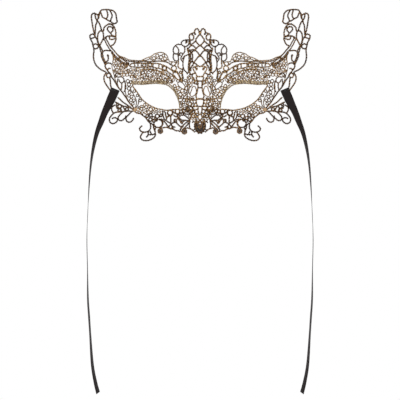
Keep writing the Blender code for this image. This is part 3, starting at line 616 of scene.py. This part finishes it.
# The cheek under the eye: close loops by the rim, open scrolls below, and the curl at the corner.
sewMotif("cheekNet", {
    "finish": "brown", "weight": "bold", "nodes": ("cheek_mesh",), "bends": True,
    "cords": [
        [(66, -14), (64, -15.5), (62, -16.3), (60, -16.5), (58, -17.7), (56, -19.3), (54.5, -20.5),
         (53, -22.5), (52, -24), (50, -26)],
        [(40.3, -22.3), (38.2, -22.3), (36.8, -23.3), (37.2, -25.4), (37.3, -27.4), (38.4, -29.4),
         (39.5, -30.7)],
        [(36.5, -14.4), (34.8, -15.4), (34.4, -18.2), (33.6, -20.6), (33.6, -22.6), (35.5, -24.3),
         (33.6, -27), (31.3, -30.4)],
        [(37.8, -13.6), (37.2, -16.1), (36.8, -19.2), (35.5, -22.3), (34.1, -23.3), (31.3, -25.4),
         (29.3, -26.4), (28.6, -28.1), (27.2, -29.5), (24.5, -30.4)],
        [(28.4, -28.2), (28.6, -27.1), (26.5, -25.7), (24.5, -25.4), (22.7, -26.8), (21, -28.5),
         (18.9, -30.2), (20, -33.3)],
        [(29.3, -19), (29.2, -22.6), (29.1, -26.4)],
        [(33.4, -21.6), (32.7, -19.9), (31, -18.8), (28.6, -18.5), (27.2, -16.8), (27.2, -14.4),
         (28.4, -13)],
        [(27.2, -14.4), (25.5, -16.1), (23.4, -16.8), (22.7, -18.5), (22, -20.2), (21.7, -21.6),
         (23.8, -22.3), (26.5, -22.6)],
        [(23.8, -22.5), (23.4, -25), (24.4, -25.6)],
        [(23, -16.8), (21, -16.6), (18.9, -16.8), (18.8, -18.2), (15.8, -18.2), (13.8, -19.5),
         (11.4, -21.6), (9.8, -23.6)],
        [(22.2, -21.8), (20, -21.6), (18.6, -23), (17.6, -23.3), (14.8, -23.3), (12.4, -23.7),
         (9.6, -23.9)],
        [(21.7, -22.3), (20, -23.7), (19.3, -25.4), (17.9, -26.6), (17.2, -25), (15.2, -23.4)],
        [(6.4, -16.1), (8, -18.2), (9.3, -20.2), (10.3, -23.3), (13.8, -25.7), (16.2, -27.8),
         (18.9, -30.2)],
        [(9.6, -24.4), (11.2, -26), (12.4, -27.6), (14.2, -29.6), (16, -31.4), (18, -33)],
        [(20, -33.5), (18.6, -31.2), (16.6, -29)],
        [(41, -31.2), (39, -31.3), (37.2, -30.9), (34.8, -30.4), (32.4, -30.5), (30, -31.6), (26.5, -32.3),
         (24.5, -33.6), (21.7, -33.8), (20.3, -34.3), (18, -34.4)],
        [(15.2, -31.8), (12.6, -31), (10.4, -31.6), (8.2, -32.4)],
        [(9.6, -24.2), (10.4, -25.4), (10.7, -27.1), (10.4, -30.2), (10.2, -31.6)],
        [(24.5, -13), (24.6, -15.6), (23.2, -16.8)], [(20.6, -12.4), (20.4, -14.6), (21, -16.6)],
        [(17.2, -14.7), (15.5, -16.4), (13.1, -17.3), (10.3, -16.8), (8.6, -15.4), (7.4, -13.3),
         (7.6, -10.9), (9.6, -9.2), (12.1, -9.5), (13.8, -11.6), (13.8, -13.7), (12.1, -14.7), (10, -13.7),
         (9.6, -12)],
        [(18.9, -16.6), (17.2, -14.7), (18.9, -12.6), (14.8, -12.3)], [(17, -15), (16.6, -18.2)],
        [(22.4, -20), (24.6, -19.6), (26.6, -18)], [(31, -30.6), (30.4, -28.6), (28.8, -27.6)],
    ],
    "rings": [
        (30, -15.7, 2.5), (42.7, -19.2, 2), (39, -18.4, 1.3), (46.6, -21, 1.5), (49.6, -22.6, 1.7),
        (49.2, -18.2, 1.6), (21.2, -19.2, 1.2), (52.8, -19, 1.4), (46.2, -24, 1.3), (43.6, -23, 1.1),
        (25.6, -24, 0.5), (32.2, -16.9, 0.5), (31.3, -19.2, 0.5), (37.4, -25.4, 0.6), (18.7, -24.8, 0.5),
        (27.6, -30.6, 0.9),
    ],
})
sewMotif("cheekLoops", {
    "finish": "gold", "weight": "fine",
    "nets": [
        ([(64.5, -12.6), (60.4, -8.4), (56.4, -5), (51, -8.8), (45, -11.9), (40, -13.2), (38, -16.6),
         (43, -17), (49, -16.4), (53, -17.6), (56, -17), (61, -15.6)], 3.0, []),
    ],
})
sewMotif("cheekCurl", {
    "finish": "dark", "weight": "bold", "nodes": ("cheek_curl",), "rings": [(41.8, -26.5, 4.3, 0.95)],
    "cords": [
        [(57.5, -28.7), (59, -29.7), (60.2, -31), (60.3, -32.5), (59.3, -34), (57.5, -35), (55, -35.2),
         (53, -34.8), (51.3, -34), (50, -32.5), (49.3, -30.5), (49.4, -28.5), (49.7, -26.5), (51, -24.7),
         (52.4, -23.4)],
        [(55.6, -35.1), (57, -35.5), (58.5, -37.5), (59.5, -39.7), (59, -41.5), (57.5, -43), (55, -43.6),
         (52, -43.5), (49, -42.5), (46.5, -41), (45, -39.3), (44.5, -37.5), (44.8, -35.5), (45, -33),
         (44.4, -30.4)],
        [(53.8, -40.5), (52.5, -39), (51.8, -37.7), (51.7, -35.8), (51.3, -34.1)],
        [(49.8, -34), (49.2, -36), (48, -37.6), (46.5, -37.5), (44.8, -36.5)],
        [(51.8, -37.7), (49.8, -37.8), (48, -37.6)], [(46.8, -29.6), (45.9, -32), (45.2, -34)],
        [(50, -26), (48.5, -26.5), (47, -28), (45.6, -30.2)],
    ],
})
print("cheeks sewn")

# The fan outside the cheek and its three tendrils.
sewMotif("fanRays", {
    "finish": "brown", "weight": "bold", "nodes": ("fan_rays",),
    "rings": [(80.3, -9.4, 1.8), (80.6, -13.2, 1.4), (73, -12.2, 1.5)],
    "cords": [
        [(82.3, -0.3), (80, -2.3), (77.5, -4.8), (75, -6.5), (72, -8.5), (70, -10), (68, -11.7),
         (66, -12.8)],
        [(74, 0.2), (72.5, -3), (71, -5.2), (69, -7.7), (67.5, -9.3), (65.6, -11.8)],
        [(85, -5), (83, -5.8), (81, -7), (79, -8), (77, -9), (75, -9.5), (72, -10), (69.5, -11),
         (66.4, -12.8)],
        [(83.5, -15.2), (80, -15), (77, -14.7), (74, -14.3), (71, -14), (68, -14.3), (65.6, -13.6)],
        [(84, -5.5), (83, -7), (83.5, -9), (83, -11), (81.8, -12.2)],
        [(77.6, -8.8), (76.3, -10.8), (75.2, -12.7), (75, -14.4)],
        [(80, -11.2), (78.8, -12.5), (78.3, -14.8)],
        [(88.3, -10), (88.3, -12.5), (87.5, -14.8), (86.3, -16.3)], [(88.2, -10.4), (86, -8.6), (84, -8)],
    ],
})
sewMotif("tendrils", {
    "finish": "dark", "weight": "bold", "nodes": ("tendrils",),
    "cords": [
        [(82.4, -15.1), (83.8, -15.3), (86, -16.2), (87.5, -17.5), (89.3, -19.5), (90.4, -21.5),
         (90.5, -23.5), (89.8, -25.3), (88, -26.5), (86.3, -26.6), (84.3, -25.7), (83, -24.3),
         (82.3, -22.5), (83.5, -21.2), (85, -20.7), (86.5, -21), (88.3, -21.8)],
        [(76.4, -14.6), (78.5, -16.3), (80, -17.8), (81.3, -19.5), (81.8, -21), (81.5, -22.5),
         (80.3, -23.5), (78.8, -23.7), (77.3, -23.2), (76, -22), (74.8, -21), (74, -20), (74.5, -18.5)],
        [(67.8, -14.2), (70, -16.3), (71.5, -18), (73, -19.5), (74, -21), (73.7, -23), (72.8, -24.6),
         (71, -25.3), (69.5, -25), (68, -24), (66.8, -22.3), (66.3, -20.8)],
    ],
})
print("fans sewn")

# The scrolls beside the crest and the feather that joins them to the brow.
sewMotif("crestShoulder", {
    "finish": "dark", "nodes": ("crest_shoulder",), "bends": True, "rings": [(20.3, 41.8, 0.5)],
    "cords": [
        [(10.4, 56.8), (12.6, 57.1), (15.1, 56.8), (17.6, 55.8), (18.7, 53.8), (17.6, 51.6), (14.6, 50.4),
         (12.2, 51.4), (11.2, 53.4)],
        [(12.8, 56.6), (12.9, 55.2), (13.4, 53.8)], [(13.9, 56.6), (14, 55), (14.2, 53.3)],
        [(18.6, 53), (19.5, 52.3), (21.5, 52.7), (23.5, 52), (25.3, 50.5), (26.5, 48.5), (26.8, 46),
         (26.2, 44.3), (26.7, 41.5), (26.7, 39), (25.7, 37), (24.3, 36), (22.5, 36), (21.5, 37),
         (21.6, 39.5), (22, 41.8), (23, 43), (25, 43.2), (26.4, 44)],
        [(24.4, 51), (22.8, 49.6), (21.5, 47.6), (21.3, 45.2), (22.4, 43.2), (24.4, 42.8)],
        [(16, 50.4), (15.2, 48.7), (15.2, 46.5), (15.6, 44.6), (17.2, 42.6), (18.4, 40.6), (19.3, 38.3)],
        [(21.8, 42), (20, 43.7), (18.3, 44), (17.2, 42.6)], [(19.4, 38.2), (18.6, 36.9), (16.9, 35)],
        [(11.2, 42.8), (13, 41.7), (15.1, 41), (16.6, 39.4), (18, 37.6)],
        [(15.1, 41), (16.3, 38), (16.9, 35), (17, 31.3), (16.2, 28), (15, 26), (13.5, 24.8), (12.4, 22.6)],
        [(16.6, 29.4), (17.6, 26), (17.4, 22), (16.4, 18)],
    ],
})
sewMotif("crestKnots", {
    "finish": "dark", "weight": "fine", "bends": True, "depth": 1.3, "cords": [[(10.2, 56), (10.1, 54.9)]],
    "rings": [
        (10.1, 55.2, 0.7), (9.1, 43.8, 0.7), (9.2, 38.2, 0.7), (9.2, 34.7, 0.6), (7.6, 35.5, 0.7),
        (10.6, 46.2, 0.6), (6.5, 18.9, 0.6), (7.9, 21.8, 0.5), (4.8, 62.7, 0.6),
    ],
})
sewMotif("crestRail", {
    "finish": "crest", "weight": "bold", "nodes": ("crest_small_scroll",), "bends": True,
    "cords": [
        [(5.6, 64.4), (7.5, 63.6), (9.7, 62.8), (10.7, 60.8), (10.5, 58.4), (9, 56.9), (7, 57.3),
         (6.2, 59.4), (6.8, 61.6), (8.6, 62.5)],
        [(9.6, 57), (10.2, 55.4), (10, 53.6), (9.3, 52.2), (9.7, 50.8)],
        [(10.9, 56.4), (11, 54), (10.4, 52.2)],
        [(12.2, 48), (11.2, 48.9), (9.4, 51), (7, 51.2), (5.1, 49.7), (3.9, 48.2)],
        [(4.2, 56), (5.6, 54.8), (7.4, 53.1), (9.4, 52.2)],
        [(12.4, 46.9), (9, 46.9), (6.4, 47.4), (5, 46.8)], [(12.4, 45.6), (10, 45.4), (7.9, 45.2)],
        [(8.6, 45.6), (7.8, 43.3), (7.3, 40), (7.7, 37), (7.4, 35.2), (5.9, 34.5)],
        [(12.6, 49.4), (12.3, 46.4), (11.3, 43.6), (10.9, 40), (10.9, 36), (11.3, 33), (11.6, 29),
         (11.2, 26), (10, 23.8), (9, 22.2)],
        [(9.2, 34.4), (10.2, 32.6), (10.5, 29.6), (10.3, 27), (11.4, 24.8), (13.3, 22.8)],
        [(9.1, 43.9), (10, 42.2), (10.9, 41)],
        [(9.1, 43.6), (9.6, 41), (9.2, 38.2), (9.7, 36.4), (9.2, 34.6)], [(7.6, 35.4), (9.2, 34.6)],
        [(7, 32.2), (8.6, 30), (9.3, 27.4), (9.2, 25.4)],
        [(7.9, 21.4), (7.2, 22.9), (6, 23.6), (4.8, 23.5)], [(7.4, 22.6), (9, 22.2), (10.9, 22.6)],
    ],
})
sewMotif("feather", {
    "finish": "gold", "nodes": ("feather",), "bends": True, "rings": [(26, 28.7, 2.5), (19.4, 24.6, 1.2)],
    "cords": [
        [(17, 15), (19.5, 17), (20.5, 20), (22, 23), (24, 25), (26.2, 26.4)],
        [(26.3, 22), (24, 19), (22.5, 17.5), (19, 16)],
        [(21.7, 37), (21.5, 34), (22, 31), (21.5, 29.5), (20.3, 28.5), (18.5, 27.8), (17.2, 28.5)],
        [(24.4, 26), (23, 25.5), (21.5, 23), (20.3, 21), (18.5, 17.3), (16.6, 16)],
        [(17, 26.6), (18, 22), (17, 18)], [(25.8, 31.4), (24, 33.4), (23.4, 35.8)],
    ],
})
print("crest scrolls sewn")

# The crest and the nose, on the centre line; a central motif's lines are drawn on both sides of it.
sewMotif("crest", {
    "finish": "crest", "weight": "bold", "on": ("centre",), "nodes": ("crest_finial", "crest_lattice"),
    "cords": [
        [(0, 65.2), (0.9, 65.6), (1.4, 66.8), (2.2, 67.9), (3.3, 68.2), (4.6, 67.4), (5.3, 65.8),
         (5.4, 64.2), (4.9, 62.9), (4.3, 62)],
        [(0, 62.6), (1.5, 61.2), (3, 59.2), (4.2, 57.3), (3.7, 55), (2.2, 53.2), (0.8, 51.9), (0, 51.4)],
        [(0, 51.2), (1.8, 50.3), (3.9, 48.1), (5.1, 46.7)],
        [(7.9, 45.2), (6.1, 46.1), (4.3, 46.2), (2.5, 44.7), (1.1, 42.7), (0, 41.7)],
        [(0, 41.5), (1.5, 40.4), (3.9, 37.3), (5.9, 34.6)], [(0, 41), (1.2, 40.2)],
        [(0, 52.2), (0.8, 51.2)], [(5.9, 34.5), (3.9, 32.8), (1.8, 31), (0, 30.3)],
        [(5.9, 34.5), (7, 32.2), (7.4, 30.6)],
    ],
})
sewMotif("noseLadder", {
    "finish": "gold", "weight": "bold", "on": ("centre",), "nodes": ("nose_ladder",), "depth": 0.7,
    "rings": [(4, -23, 1.0), (4.2, -18.6, 1.1), (7, -12.8, 1.1)],
    "cords": [
        [(0, 20.3), (2, 20.4), (3.5, 20), (3.4, 18), (2.5, 16), (2.1, 14), (2.1, 11), (1.9, 9.2),
         (2.3, 8.4), (2.6, 6.4), (3.1, 4), (4, 1.8), (3.8, -0.2), (3.2, -1.8), (3.8, -4), (3.2, -7.5),
         (2.2, -9.3), (2, -11), (2, -13.5), (1.5, -15.5), (1, -17), (1.9, -19), (1.9, -21.6), (0, -23)],
        [(0, 15.8), (1.8, 15.8), (2.8, 15), (3.1, 13.6)], [(0, 9.2), (1.9, 9.2)], [(0, -9.5), (2.2, -9.5)],
        [(0, -17.7), (1, -17.4)], [(2.4, 15.6), (4.6, 16.4), (6.6, 18.4), (8, 20.4)],
        [(3.6, -3.4), (5.6, -3), (8, -4)], [(2.4, -9.6), (4.6, -9.4), (7, -10)],
        [(1.6, -16), (4, -16.6), (6.6, -16)], [(1.9, -20.4), (4.4, -20.4), (7.4, -21)],
        [(2.2, 12.6), (4.4, 13), (6, 14.4), (5, 16.4)], [(3.4, -6), (5.2, -6.4), (6.2, -8), (4.6, -9.6)],
        [(2, -12.4), (4, -12.6), (5.4, -14.4), (4, -16.4)],
    ],
})
sewMotif("noseNet", {
    "finish": "gold", "weight": "fine", "bends": True,
    "cords": [
        [(4.9, 10.4), (3.9, 8), (3.6, 5), (4.8, 2.4), (6.8, 0.8), (8.4, 0.3), (9.7, 1.6), (9.7, 4),
         (8.6, 6.2), (8, 8.6), (6.8, 10.6), (4.9, 10.4)],
        [(9.9, 1.8), (11.2, 4.6), (10.6, 8.6), (9, 10.4)], [(9.6, -3), (7.6, -2.2), (5.6, -0.8)],
        [(7.2, 20.6), (9, 20), (11.2, 20.4)],
    ],
    "nets": [
        ([(5.6, 19.4), (7, 20.4), (12, 19.4), (12, -21), (6, -21.4), (5.6, -16), (6.4, -10), (5.6, -6),
         (6.6, -2), (9.8, -1), (11.4, 0), (12, 9), (7, 12), (5.4, 14)], 3.2, [(6.6, 5.6, 4.9)]),
    ],
})
sewMotif("noseFrill", {
    "finish": "brown", "on": ("centre",), "nodes": ("nose_frill",),
    "rings": [(3.4, -26.4, 0.9), (1.6, -25.2, 0.8)],
    "cords": [
        [(0, -23), (1.4, -24.4), (3, -25.2), (4.4, -25.4), (6, -24.6), (7.6, -23.4)],
        [(4.4, -25.4), (5.3, -27), (5.5, -29), (5, -31.4), (6.2, -33.2), (8, -32.4)],
        [(8.2, -32.9), (6.5, -34), (5, -35.5)], [(6, -24.6), (7.4, -25.4), (8.2, -25.6)],
    ],
})
print("crest and nose sewn")


def stitchPatch(name, outline, finish, body, nodes, pad, fold=None):
    # Rows of floss laid across the outline, higher in the middle, in front of a thin flat backing.
    curve = bpy.data.curves.new("rows", "CURVE")
    curve.dimensions = "3D"
    curve.bevel_depth = pad["thread"] / 2 * mm
    curve.bevel_resolution = 1
    curve.use_fill_caps = True
    outs, ups = [p[0] for p in outline], [p[1] for p in outline]
    middle = Vector(((min(outs) + max(outs)) / 2, (min(ups) + max(ups)) / 2))
    reach = max((Vector(p) - middle).length for p in outline)
    rows = int((max(ups) - min(ups)) / (pad["thread"] * pad["overlap"]))
    cuts = pad["cuts"]
    for row in range(rows):
        up = min(ups) + (row + 0.5) * (max(ups) - min(ups)) / rows
        crossings = []
        for (ax, ay), (bx, by) in zip(outline, outline[1:] + outline[:1]):
            if (ay > up) != (by > up):
                crossings.append(ax + (bx - ax) * (up - ay) / (by - ay))
        crossings.sort()
        for start, end in zip(crossings[::2], crossings[1::2]):
            spline = curve.splines.new("POLY")
            spline.points.add(cuts)
            for i, knot in enumerate(spline.points):
                out = start + (end - start) * i / cuts
                far = min(1.0, (Vector((out, up)) - middle).length / reach)
                lift = pad["base"] + pad["height"] * math.sqrt(max(0.0, 1 - far * far))
                arch = pad["thread"] * pad["arch"] * math.sin(math.pi * i / cuts)
                knot.co = (out * mm, -(lift + arch) * mm, (up + eyeLine) * mm, 1.0)
    mesh = meshFromCords(curve, name)
    bm = bmesh.new()
    bm.from_mesh(mesh)
    backing = [bm.verts.new((out * mm, -pad["base"] * mm, (up + eyeLine) * mm)) for out, up in outline]
    grown = bmesh.ops.extrude_face_region(bm, geom=[bm.faces.new(backing)])["geom"]
    bmesh.ops.translate(bm, verts=[v for v in grown if isinstance(v, bmesh.types.BMVert)],
                        vec=(0, pad["thread"] * mm / 2, 0))
    bmesh.ops.remove_doubles(bm, verts=bm.verts, dist=0.001 * mm)
    bmesh.ops.recalc_face_normals(bm, faces=bm.faces)
    bm.to_mesh(mesh)
    bm.free()
    mesh.shade_smooth()
    addPiece(mesh, finish, body, nodes, fold)


# Satin-stitched pads: the heart on the nose, the buds under the cheek and the knot the fan starts from.
padSize = {"thread": 0.55, "base": 0.5, "height": 1.0, "overlap": 0.8, "arch": 0.6, "cuts": 8}
heart = [(0, -27.2), (1.6, -26.2), (3.4, -26.4), (4.5, -28), (4.5, -30.4), (3.6, -32.8), (2, -34.8),
         (0, -35.8)]
heart = heart + [(-out, up) for out, up in heart[-2:0:-1]]
stitchPatch("noseRosette", heart, "stitch", "centre", ("nose_rosette",), padSize)
discs = {
    "budOuter": {"ring": (39.6, -34.1, 2.3), "finish": "stitch", "nodes": ("bud_outer",), "pad": padSize},
    "budInner": {"ring": (15.6, -34.7, 2.3), "finish": "stitch", "nodes": ("bud_inner",), "pad": padSize,
                 "bends": True},
    "fanKnot": {"ring": (64.9, -12.8, 2.5, 0.7, -0.3), "finish": "patch", "nodes": (),
                "pad": {**padSize, "thread": 0.5, "base": 0.9, "height": 0.5}},
}
for sideName, side in sides.items():
    for name, disc in discs.items():
        outline = [(side * out, up) for out, up in circle(*disc["ring"], count=12)]
        nodes = [node + "_" + sideName for node in disc["nodes"]]
        fold = foldLine(sideName) if disc.get("bends") else None
        stitchPatch(name + sideName.capitalize(), outline, disc["finish"], sideName + "_side", nodes,
                    disc["pad"], fold)

# Links laid over the middle last: the bridge bar, the scroll under the crest and the rosette's collar.
sewMotif("bridgeBar", {
    "finish": "net", "on": ("centre",), "depth": 1.3,
    "cords": [
        [(0, -1.7), (1.8, -1.7), (3.2, -1.9)], [(0, -2.4), (1.8, -2.4), (3.1, -2.6)],
        [(0, 30.2), (1.8, 30.6), (4.2, 30.5), (6.2, 29.8), (7, 28.7), (6.5, 27), (5.4, 25.4), (4.2, 23.6),
         (3.3, 21.2), (1.6, 20.3), (0, 20.1)],
        [(5.6, 29), (4.2, 29.4), (2.9, 28.6), (3, 27.2), (4.4, 26.8)],
        [(4.9, 28.2), (4, 28.2), (3.6, 27.6)], [(0, 66), (0, 64.2), (0.4, 63)],
        [(0.9, 65.4), (0.8, 63.8), (0.2, 62.6)], [(0, -25.5), (1.2, -24.8), (2.4, -25.2), (3.2, -26.6)],
        [(2.4, -25), (3.8, -24.8), (5, -25.9), (5.2, -27.6)],
    ],
})
sewMotif("budRims", {
    "finish": "gold", "weight": "fine", "bends": True, "depth": 0.9,
    "rings": [(39.6, -34.1, 2.5), (15.6, -34.7, 2.5)],
})
sewMotif("rosetteRim", {
    "finish": "dark", "on": ("centre",), "depth": 1.2,
    "cords": [
        [(0, -36.2), (1.8, -35.6), (3.2, -34.2), (4.2, -32.4), (4.8, -30.4), (4.8, -28.4)],
    ],
    "rings": [
        (5, -29.6, 0.7), (4.6, -31.9, 0.7), (3.6, -34, 0.7), (1.3, -35.8, 0.7), (4.6, -27.4, 0.7),
    ],
})
sewMotif("rosetteHeart", {
    "finish": "stitched", "weight": "fine", "on": ("centre",), "depth": 2.1,
    "cords": [
        [(0, -33.8), (1.3, -32.9), (2.5, -31.2), (2.9, -29.2), (2.3, -27.6)],
        [(0, -34.5), (1.8, -33.6), (3.2, -31.6)], [(0, -33), (0.9, -32.4), (1.9, -31)],
    ],
})
sewMotif("budHearts", {
    "finish": "stitched", "weight": "fine", "depth": 2.0, "bends": True,
    "rings": [(39.7, -34.2, 0.7), (15.6, -34.3, 0.7)],
})
# Painted highlight: a small gold ring and two gold strands laid over the rosette's dark satin heart, where
# its floss catches the light.
sewMotif("rosetteEye", {
    "finish": "gold", "weight": "fine", "on": ("centre",), "depth": 2.1,
    "cords": [
        [(0, -29), (1.2, -29.5), (1.6, -30.6), (1, -31.6), (0, -32)],
        [(4.6, -27.6), (3.9, -29.6), (3.9, -31.4), (3, -33.2)],
    ],
})
print("buds and rosette stitched")

# The ribbons. The route starts at the seam's lower edge; each point has its turn from facing the front.
ribbon = {
    "width": 9.5, "thick": 0.3, "selvedge": 0.42, "selvedgeSteps": (0.2, 0.7, 0.9), "crease": 50,
    "depth": 2.75, "seamTop": (84.25, 7.85), "seamLength": 9.43, "direction": (0.402, -0.9157),
    "seamTurn": 15, "seamCuts": 4, "hinge": 8, "step": 2.5, "pathStep": 8,
    "cutAt": (101.5, -295.5), "cutAway": (0.673, 0.74),
    "route": [
        ((88.04, -0.78), 15), ((88.92, -2.8), 17), ((90.9, -7), 27), ((94.8, -15), 40), ((98.7, -25), 48.5),
        ((102.9, -36), 59.5), ((106.3, -50), 68), ((108.8, -66), 75), ((110.6, -87), 80.3),
        ((112, -115), 86.5), ((112.9, -142), 84), ((112.3, -172), 83), ((111.9, -201), 77),
        ((110.7, -220), 75.5), ((109.6, -237), 75.6), ((107.5, -267), 69), ((104.4, -285), 64),
        ((101.6, -296), 60), ((100.9, -298.6), 60),
    ],
}
# The zigzag of sewing thread that holds the ribbon's top end to the lace.
tack = {"top": 1.3, "reach": 1.3, "pitch": 0.65, "stitches": 12, "lift": 0.33}


def ribbonSection():
    # Flat web with a slightly thicker woven selvedge along each edge; the width runs along Y.
    half, web, edge = ribbon["width"] / 2, ribbon["thick"] / 2, ribbon["selvedge"] / 2
    rounded, flat, end = (-half + step for step in ribbon["selvedgeSteps"])
    left = [(0, -half), (edge, rounded), (edge, flat), (web, end)]
    front = left + [(web, 0)] + [(x, -y) for x, y in reversed(left)]
    points = front + [(-x, y) for x, y in front[-2:0:-1]]
    return sectionObject("ribbonSection", points), points


def stripMesh(name, side, stations, section, points):
    # The strip follows (out, up, turn) drawn flat, then is stood up and put at its depth.
    curve = cordCurve(section)
    curve.twist_mode = "Z_UP"
    spline = curve.splines.new("POLY")
    spline.points.add(len(stations) - 1)
    for knot, (out, up, turn) in zip(spline.points, stations):
        knot.co = (out * mm, up * mm, 0.0, 1.0)
        knot.tilt = math.radians(90 - turn)
    mesh = meshFromCords(curve, name)
    mesh.transform(Matrix.Rotation(math.radians(90), 4, "X"))
    mesh.transform(Matrix.Translation((0, -ribbon["depth"] * mm, eyeLine * mm)))
    mesh.transform(Matrix.Scale(side, 4, (1, 0, 0)))
    lengths = [0.0]
    for a, b in zip(stations, stations[1:]):
        lengths.append(lengths[-1] + math.hypot(b[0] - a[0], b[1] - a[1]))
    # Across the ribbon is 0 to 1 from edge to edge, and along it counts in widths.
    uvs = mesh.uv_layers.new(name="ribbonUv")
    for loop in mesh.loops:
        ring, place = divmod(loop.vertex_index, len(points))
        uvs.data[loop.index].uv = (points[place][1] / ribbon["width"] + 0.5, lengths[ring] / ribbon["width"])
    return mesh


def trimStrip(mesh, cuts):
    # Scissor cuts: each is a point and the direction of what falls away, then the ends are closed.
    bm = bmesh.new()
    bm.from_mesh(mesh)
    for place, away in cuts:
        bmesh.ops.bisect_plane(bm, geom=bm.verts[:] + bm.edges[:] + bm.faces[:], plane_co=place,
                               plane_no=away, clear_outer=True)
    bmesh.ops.holes_fill(bm, edges=[e for e in bm.edges if e.is_boundary])
    bmesh.ops.recalc_face_normals(bm, faces=bm.faces)
    bm.to_mesh(mesh)
    bm.free()
    mesh.shade_smooth()
    mesh.set_sharp_from_angle(angle=math.radians(ribbon["crease"]))


def atSeam(along, across=0.0):
    # A place on the sewn end, from the middle of its top edge.
    (top, up), (dx, dz) = ribbon["seamTop"], ribbon["direction"]
    return (top + dx * along - dz * across, up + dz * along + dx * across)


def inModel(side, out, up):
    return Vector((side * out, -ribbon["depth"], up + eyeLine)) * mm


def hangRibbon(sideName, section, points):
    side = sides[sideName]
    body = sideName + "_side"
    seamEnd, cuts = ribbon["seamLength"], ribbon["seamCuts"]
    sewn = [(*atSeam(seamEnd * i / cuts), ribbon["seamTurn"]) for i in range(cuts + 1)]
    mesh = stripMesh("ribbonEnd" + sideName.capitalize(), side, sewn, section, points)
    trimStrip(mesh, [])
    addPiece(mesh, "ribbon", body, ("ribbon_end_" + sideName,))

    route = [(*place, turn) for place, turn in ribbon["route"]]
    stations = [tuple(p) for p in smoothRoute(route, step=ribbon["step"])]
    mesh = stripMesh("ribbon" + sideName.capitalize(), side, stations, section, points)
    inward, down = ribbon["cutAway"]
    trimStrip(mesh, [(inModel(side, *ribbon["cutAt"]), (-side * inward, 0, -down))])
    bend = [inModel(side, *atSeam(seamEnd + along)) for along in (0, ribbon["hinge"])]
    hanging = addPiece(mesh, "ribbon", None, ("ribbon_" + sideName,), (body, sideName + "_ribbon", *bend))
    line = smoothRoute([(*place, 0) for place, turn in ribbon["route"][:-1]], step=ribbon["pathStep"])
    line[-1] = Vector((*ribbon["cutAt"], 0))

    zigzag = [atSeam(tack["top"] + tack["reach"] * (i % 2), tack["pitch"] * (i - tack["stitches"] / 2))
              for i in range(tack["stitches"] + 1)]
    curve = cordCurve(sections["sewing"])
    tone = layCord(curve, zigzag, side, ribbon["depth"] + tack["lift"], False, random.Random(1))
    mesh = meshFromCords(curve, "ribbonTack" + sideName.capitalize())
    finishTubes(mesh, [tone])
    addPiece(mesh, "sewing", body, ("ribbon_tack_" + sideName,))


ribbonShape, ribbonPoints = ribbonSection()
for sideName in sides:
    hangRibbon(sideName, ribbonShape, ribbonPoints)
bpy.data.objects.remove(ribbonShape, do_unlink=True)
print("ribbons hung")


# The stage, in metres: a white floor well below the ribbons, a white room and two soft lamps.
stage = {"floorReach": 0.8, "floorHeight": -0.42, "paper": "#f2f2f2", "room": (1, 1, 1, 1),
         "lamps": {"keyLight": ((-0.8, -1.3, 1.1), 0.8, 10), "fillLight": ((1.0, -1.2, 0.4), 1.0, 5)}}
view = {"lens": 135, "distance": 1.5, "height": -0.101, "nearest": 0.05}


def makeStage():
    floorMesh = bpy.data.meshes.new("studioFloor")
    bm = bmesh.new()
    bmesh.ops.create_grid(bm, x_segments=1, y_segments=1, size=stage["floorReach"])
    bmesh.ops.translate(bm, verts=bm.verts, vec=(0, 0, stage["floorHeight"]))
    bm.to_mesh(floorMesh)
    bm.free()
    floor = bpy.data.objects.new("studioFloor", floorMesh)
    bpy.context.scene.collection.objects.link(floor)
    material, shader = newMaterial("mattWhitePaper")      # a paper sweep: even white with no glint
    setSockets(shader, {"Base Color": toLinear(stage["paper"]), "Roughness": 0.8})
    floorMesh.materials.append(material)
    world = bpy.data.worlds.new("whiteRoom")
    world.use_nodes = True
    setSockets(world.node_tree.nodes["Background"], {"Color": stage["room"], "Strength": 1.0})
    bpy.context.scene.world = world
    bpy.context.scene.view_settings.view_transform = "Standard"


def addSoftbox(name, place, size, power):
    lamp = bpy.data.lights.new(name, "AREA")
    lamp.shape = "SQUARE"
    lamp.size = size
    lamp.energy = power
    softbox = bpy.data.objects.new(name, lamp)
    softbox.location = place
    softbox.rotation_euler = (Vector((0, 0, 0)) - Vector(place)).to_track_quat("-Z", "Y").to_euler()
    bpy.context.scene.collection.objects.link(softbox)


makeStage()
for lampName, (place, size, power) in stage["lamps"].items():
    addSoftbox(lampName, place, size, power)
lens = bpy.data.cameras.new("frontCamera")
lens.lens = view["lens"]
lens.clip_start = view["nearest"]
camera = bpy.data.objects.new("frontCamera", lens)
camera.location = (0, -view["distance"], view["height"])
camera.rotation_euler = (math.radians(90), 0, 0)
bpy.context.scene.collection.objects.link(camera)
bpy.context.scene.camera = camera

for section in sections.values():
    bpy.data.objects.remove(section, do_unlink=True)
